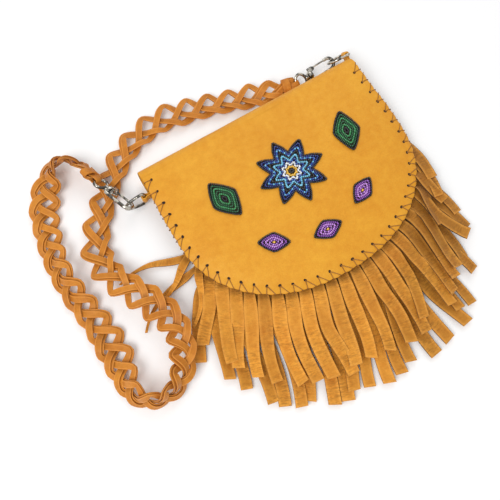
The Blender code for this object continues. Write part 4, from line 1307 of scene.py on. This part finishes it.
def star_line(share):
    angles = np.linspace(0, 2 * np.pi, 16 * 14 + 1)
    turn = (angles * 8 / (2 * np.pi)) % 1.0
    radius = STAR_INNER + (STAR_OUTER - STAR_INNER) * np.abs(2 * turn - 1) ** 1.15
    return np.array(STAR_CENTRE) + radius[:, None] * share * np.stack([np.cos(angles), np.sin(angles)], 1)


def diamond_line(centre, half, tilt, share):
    angles = np.linspace(0, 2 * np.pi, 97)
    c, s = np.cos(angles), np.sin(angles)
    reach = share / (np.abs(c) ** 1.2 + np.abs(s) ** 1.2) ** (1 / 1.2)
    x, y = half[0] * reach * c, half[1] * reach * s
    c, s = math.cos(tilt), math.sin(tilt)
    return np.array(centre) + np.stack([x * c - y * s, x * s + y * c], 1)


def add_ground(shape, line, centre):
    """Thin dark felt under a motif, a little smaller than it."""
    points = []
    for share, lift in ((0.02, 0.34), (0.35, 0.34), (0.7, 0.34), (0.965, 0.34), (0.975, 0.02)):
        x, y = (np.array(centre) + (line[:-1] - np.array(centre)) * share).T
        points.append(np.stack([x, y, leather_top(x, y) + lift], 1))
    count = len(line) - 1
    faces = grid_faces(len(points), count, True) + [tuple(range(count))]
    shape.add(np.concatenate(points), faces, 0.0, 0.0, BLACK)


def add_motif(name, node, line, rows, seed, ground, centre, felt_share, glass):
    """Rows of beads at shares of a motif's line, over their felt."""
    shape = Shape()
    for k, (share, pick) in enumerate(rows):
        add_beads(shape, line(share), pick, seed + k)
    add_ground(ground, line(felt_share), centre)
    shape.finish(name, glass, "flap_body", node)


def make_beadwork(glass, felt):
    ground = Shape()
    add_motif("star_beads", "bead_star", star_line, STAR_ROWS, 10, ground, STAR_CENTRE, 0.985, glass)
    for kind, places, half, rows, seed, felt_share in (
        ("diamond", DIAMOND_PLACES, DIAMOND_HALF, DIAMOND_ROWS, 40, 0.96),
        ("spray", SPRAY_PLACES, SPRAY_HALF, SPRAY_ROWS, 70, 0.97),
    ):
        for side, centre, tilt in places:
            line = functools.partial(diamond_line, centre, half, tilt)
            name = f"{kind}_beads_{side}"
            add_motif(name, f"bead_{kind}_{side}", line, rows, seed, ground, centre, felt_share, glass)
    ground.finish("bead_felt", felt, "flap_body")


# Rings, tabs, clasps and the snap


def axes_of(first, second):
    x = unit(first)
    z = unit(np.cross(x, second))
    return np.stack([x, np.cross(z, x), z], 1)


def make_rings(nickel):
    path = [(0.0, RING_HALF_BAR * q, 0.0) for q in np.linspace(-0.8, 0.8, 14)]
    for t in np.pi * (np.arange(57) / 4 + 0.35) / 14.7:
        path.append((RING_LENGTH * math.sin(t), RING_HALF_BAR * math.cos(t), 0.0))
    for side, bar, axis in (("left", LEFT_BAR, (0.0, 0.0, 1.0)), ("right", RIGHT_BAR, RIGHT_BAR_AXIS)):
        place = (axes_of((-1.0, 0.0, 0.0), axis), bar)
        shape = Shape().run(path, circle(RING_WIRE, 16), place=place, closed=True)
        shape.finish(f"ring_{side}", nickel, f"ring_{side}", f"d_ring_{side}")


def add_tab(shape, place, run):
    """A doubled strip wrapped round the bar: local X away from the ring, Z along the bar."""
    round_bar = RING_WIRE + 0.1 + TAB_WALL / 2
    wall = TAB_WALL / 2
    path = [(run, wall, 0.0), (run * 0.6, wall, 0.0), (3.4, wall + 0.1, 0.0)]
    for t in np.radians(np.arange(40, 321, 20)):
        path.append((round_bar * math.cos(t), round_bar * math.sin(t), 0.0))
    path += [(3.4, -wall - 0.1, 0.0), (run * 0.6, -wall, 0.0), (run, -wall, 0.0)]
    path = rounded_line(path, 4)
    sides = np.broadcast_to((0.0, 0.0, 1.0), path.shape)
    ups = np.cross(sides, unit(np.gradient(path, axis=0)))
    shape.lace(path, sides, ups, TAB_WIDTH, TAB_WALL - 0.1, place=place)


def make_tabs(material, thread):
    away = unit(np.cross(RIGHT_BAR_AXIS, (1.0, 0.0, 0.0)))
    away = -away if away[1] > 0 else away
    right = np.stack([away, np.cross(RIGHT_BAR_AXIS, away), RIGHT_BAR_AXIS], 1)
    left = axes_of((1.0, 0.0, 0.0), (0.0, 1.0, 0.0))
    stitches = Shape()
    for side, place, run in (
        ("left", (left, LEFT_BAR), -LEFT_BAR[0] - BODY_HALF_WIDTH - 0.8),
        ("right", (right, RIGHT_BAR), 11.0),
    ):
        shape = Shape()
        add_tab(shape, place, run)
        shape.finish(f"tab_{side}", material, "bag", f"ring_tab_{side}")
        for across in (-2.7, 2.7):
            for low, high in ((-1.4, -1.66), (1.4, 1.66)):
                stitch = [(4.6, low, across), (5.0, high, across), (7.2, high, across), (7.6, low, across)]
                stitches.run(rounded_line(stitch, 3), circle(0.28, 6), (0.0, 0.1, 1.0), place)
    stitches.finish("tab_stitches", thread, "bag")


def make_eye(shape, place):
    """The swivel eye: a flat oval of wire, and the collar, post and head that turn in the hook."""
    t = 2 * np.pi * np.arange(64) / 64
    path = np.stack([EYE_MIDDLE - EYE_HALF_LENGTH * np.cos(t), EYE_HALF_WIDTH * np.sin(t), np.zeros(64)], 1)
    shape.run(path, circle(EYE_WIRE, 14), place=place, closed=True)
    head = HOOK_BASE_LENGTH + END_CLEARANCE
    post = [(-4.1, 2.0), (-3.9, 2.7), (-3.4, 3.05), (-1.0, 3.1), (-0.55, 2.85), (-END_CLEARANCE, 2.6)]
    post += [(-END_CLEARANCE, POST_RADIUS), (head, POST_RADIUS), (head, HEAD_RADIUS - 0.25)]
    post += [(head + 0.25, HEAD_RADIUS), (head + 0.8, HEAD_RADIUS - 0.2), (head + 1.2, 1.6)]
    shape.turned(post, 28, place)


def make_hook(shape, place):
    """The hook's wire, its turned base, two cheeks and the lever's pin."""
    width = HOOK_HALF_WIDTH
    path = [(1.0, -width + 0.6, 0.0), (4.0, -width, 0.0), (10.0, -width, 0.0), (16.0, -width, 0.0)]
    for t in np.linspace(0, np.pi, 21):
        path.append((HOOK_ARC_AT + width * math.sin(t), -width * math.cos(t), 0.0))
    path.append((HOOK_NOSE_AT, width, 0.0))
    last = len(path) - 1
    size = HOOK_WIRE * np.interp(np.arange(len(path)), (0, 3, last - 2, last), (1.08, 1.0, 1.0, 0.9))
    shape.run(path, circle(1.0, 16)[None] * size[:, None, None], place=place)
    r = HOOK_BASE_RADIUS
    base = [(0.0, 1.6), (0.0, r - 0.5), (0.25, r - 0.15), (0.6, r - 0.05), (0.85, r - 0.3), (1.1, r - 0.05)]
    base += [(2.5, r), (2.9, r - 0.15), (HOOK_BASE_LENGTH, r - 0.5), (HOOK_BASE_LENGTH, 1.6)]
    shape.turned(base, 36, place, open_ends=True)
    add_cheek(shape, place, -CHEEK_OUTSIDE, -CHEEK_INSIDE)
    add_cheek(shape, place, CHEEK_INSIDE, CHEEK_OUTSIDE)
    pin = [(2.6, 0.7), (2.6, 1.05), (2.85, 1.0), (2.95, 0.5)]
    shape.turned([(-x, across) for x, across in pin[::-1]] + pin, 18, place, on_pin=True)


def add_cheek(shape, place, low, high):
    """A rounded cheek plate that holds the lever's pin."""
    width = HOOK_HALF_WIDTH
    outline = [(1.2, width - 2.6), (1.2, width + 0.9), (1.8, width + 1.4)]
    for t in np.radians(np.arange(70, -71, -20)):
        outline.append((GATE_PIVOT_AT - 0.2 + 1.9 * math.cos(t), width - 0.4 + 1.95 * math.sin(t)))
    outline.append((5.6, width - 2.6))
    points = [(x, y, z) for z in (low, high) for x, y in outline]
    shape.add(points, grid_faces(2, len(outline), True) + end_faces(2, len(outline)), place=place)


def make_gate(shape, place):
    """The sprung lever: a boss round the pin and an arm whose tip sits in the hook's nose."""
    boss = [(-1.2, 0.8), (-1.2, 1.45), (-1.0, 1.6), (1.0, 1.6), (1.2, 1.45), (1.2, 0.8)]
    shape.turned(boss, 24, place, on_pin=True)
    along = np.linspace(GATE_PIVOT_AT + 0.6, HOOK_NOSE_AT - 0.4, 16)
    path = np.stack([along, np.full(16, HOOK_HALF_WIDTH), np.zeros(16)], 1)
    grow = np.interp(np.arange(16), (0, 2, 12, 15), (1.0, 0.92, 0.92, 1.0))
    shape.run(path, np.array(flat_outline(1.8, 2.3))[None] * grow[:, None, None], place=place)


def make_clasps(nickel):
    for side in ("left", "right"):
        for name, maker, body, node in (
            ("eye", make_eye, "bag", "swivel_eye"),
            ("clasp", make_hook, f"clasp_{side}", "hook"),
            ("lever", make_gate, f"lever_{side}", "gate"),
        ):
            shape = Shape()
            maker(shape, clasp_frame(side))
            shape.finish(f"{name}_{side}", nickel, body, f"{node}_{side}", crisp=True)


def make_snap(nickel):
    """The snap's socket on the front panel, its stud on the lining and its washer behind."""
    slope = float(flap_height(0.0, SNAP_Y + 5) - flap_height(0.0, SNAP_Y - 5)) / 10
    rest = float(front_height(0.0, SNAP_Y))
    gap = float(flap_height(0.0, SNAP_Y)) - LEATHER - LINING_GAP - LINING - rest
    tilt = math.atan(slope)
    up = np.array([0.0, -math.sin(tilt), math.cos(tilt)])
    place = (np.stack([up, (1.0, 0.0, 0.0), np.cross(up, (1.0, 0.0, 0.0))], 1), np.array([0.0, SNAP_Y, rest]))
    top = SNAP_SEAT + SNAP_SOCKET
    low = gap - SNAP_SEAT - SNAP_PLATE
    under = -FRINGE_LEATHER - SNAP_SEAT
    r = SNAP_RADIUS
    socket = [(SNAP_SEAT, 3.0), (SNAP_SEAT, r - 0.3), (SNAP_SEAT + 0.3, r), (top - 0.5, r - 0.1)]
    socket += [(top - 0.15, r - 0.7), (top - 0.35, r - 1.3), (top - 0.05, r - 2.0), (top, 3.4)]
    socket += [(top - 0.2, 2.97), (SNAP_SEAT, 2.95)]
    stud = [(top - 0.8, 0.4), (top - 0.7, 2.2), (top - 0.4, 2.6), (low, 2.6), (low, r - 0.5)]
    stud += [(low + 0.3, r), (low + SNAP_PLATE, r - 0.2), (low + SNAP_PLATE, 0.5)]
    plate = [(under - 0.8, 0.5), (under - 0.8, r - 0.4), (under - 0.4, r), (under, r - 0.3), (under, 0.5)]
    for name, profile, body, node in (
        ("snap_cup", socket, "bag", "snap_socket"),
        ("snap_nub", stud, "flap_body", "snap_stud"),
        ("snap_washer", plate, "bag", "snap_backplate"),
    ):
        shape = Shape().turned(profile, 40, place, open_ends=name == "snap_cup")
        shape.finish(name, nickel, body, node, crisp=True)


# Seam stitches on the front panel


def make_stitches(thread):
    """Running stitches round the front panel, just inside its edge."""
    rise = np.linspace(MOUTH_Y - 3.0, FLAP_CURVE_START_Y + 1.0, 24)
    line = seam_line(-STITCH_INSET, np.full(241, -STITCH_INSET), rise)
    fine, along = resampled(line, step=0.6)
    shape = Shape()
    for start in np.arange(int(along[-1] / STITCH_PITCH)) * STITCH_PITCH:
        pick = fine[(along >= start + STITCH_GAP) & (along <= start + STITCH_END)]
        lift = 0.26 * np.sin(np.linspace(0, np.pi, len(pick))) ** 0.5 - 0.05
        path = np.column_stack([pick, front_height(pick[:, 0], pick[:, 1]) + lift])
        shape.run(path, circle(0.36, 6))
    shape.finish("seam_stitches", thread, "bag")


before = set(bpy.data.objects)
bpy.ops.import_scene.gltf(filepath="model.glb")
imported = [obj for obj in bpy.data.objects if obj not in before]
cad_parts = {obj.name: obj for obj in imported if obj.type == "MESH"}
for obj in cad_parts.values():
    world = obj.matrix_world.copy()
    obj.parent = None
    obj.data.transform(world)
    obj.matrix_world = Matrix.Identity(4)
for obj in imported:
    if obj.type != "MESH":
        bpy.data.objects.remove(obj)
CAD_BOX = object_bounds()
make_camera()

braid_leather = leather("braid_leather", colour(212, 138, 46), colour(176, 102, 26), 0.5, 0.06, 0.00012)
strap, strap_line, strap_length = make_strap(braid_leather)
strap_ends = make_strap_ends(braid_leather)

flap_leather = leather("flap_leather", colour(228, 164, 46), colour(212, 140, 30), 0.5, 0.05, 0.0001)
body_leather = leather("body_leather", colour(224, 158, 44), colour(204, 134, 30), 0.52, 0.05, 0.0001)
suede = leather("suede_lining", colour(208, 144, 62), colour(180, 116, 42), 0.85, 0.3, 0.00025)
fringe_leather = leather(
    "fringe_leather", colour(230, 158, 54), colour(198, 122, 32), 0.62, 0.08, 0.00014, 0.0009
)
thread = thread_material()
dark = dark_material()
make_flap(flap_leather, suede)
make_back(flap_leather)
make_front(body_leather)
make_lacing(thread, dark)
make_fringe(fringe_leather)
glass = bead_material()
nickel = metal("nickel", colour(206, 200, 188), 0.1)
make_beadwork(glass, dark)
make_rings(nickel)
make_tabs(body_leather, thread)
make_clasps(nickel)
make_snap(nickel)
make_stitches(thread)

bpy.context.scene.view_settings.view_transform = "Standard"
make_lamps()
make_world()
make_floor()
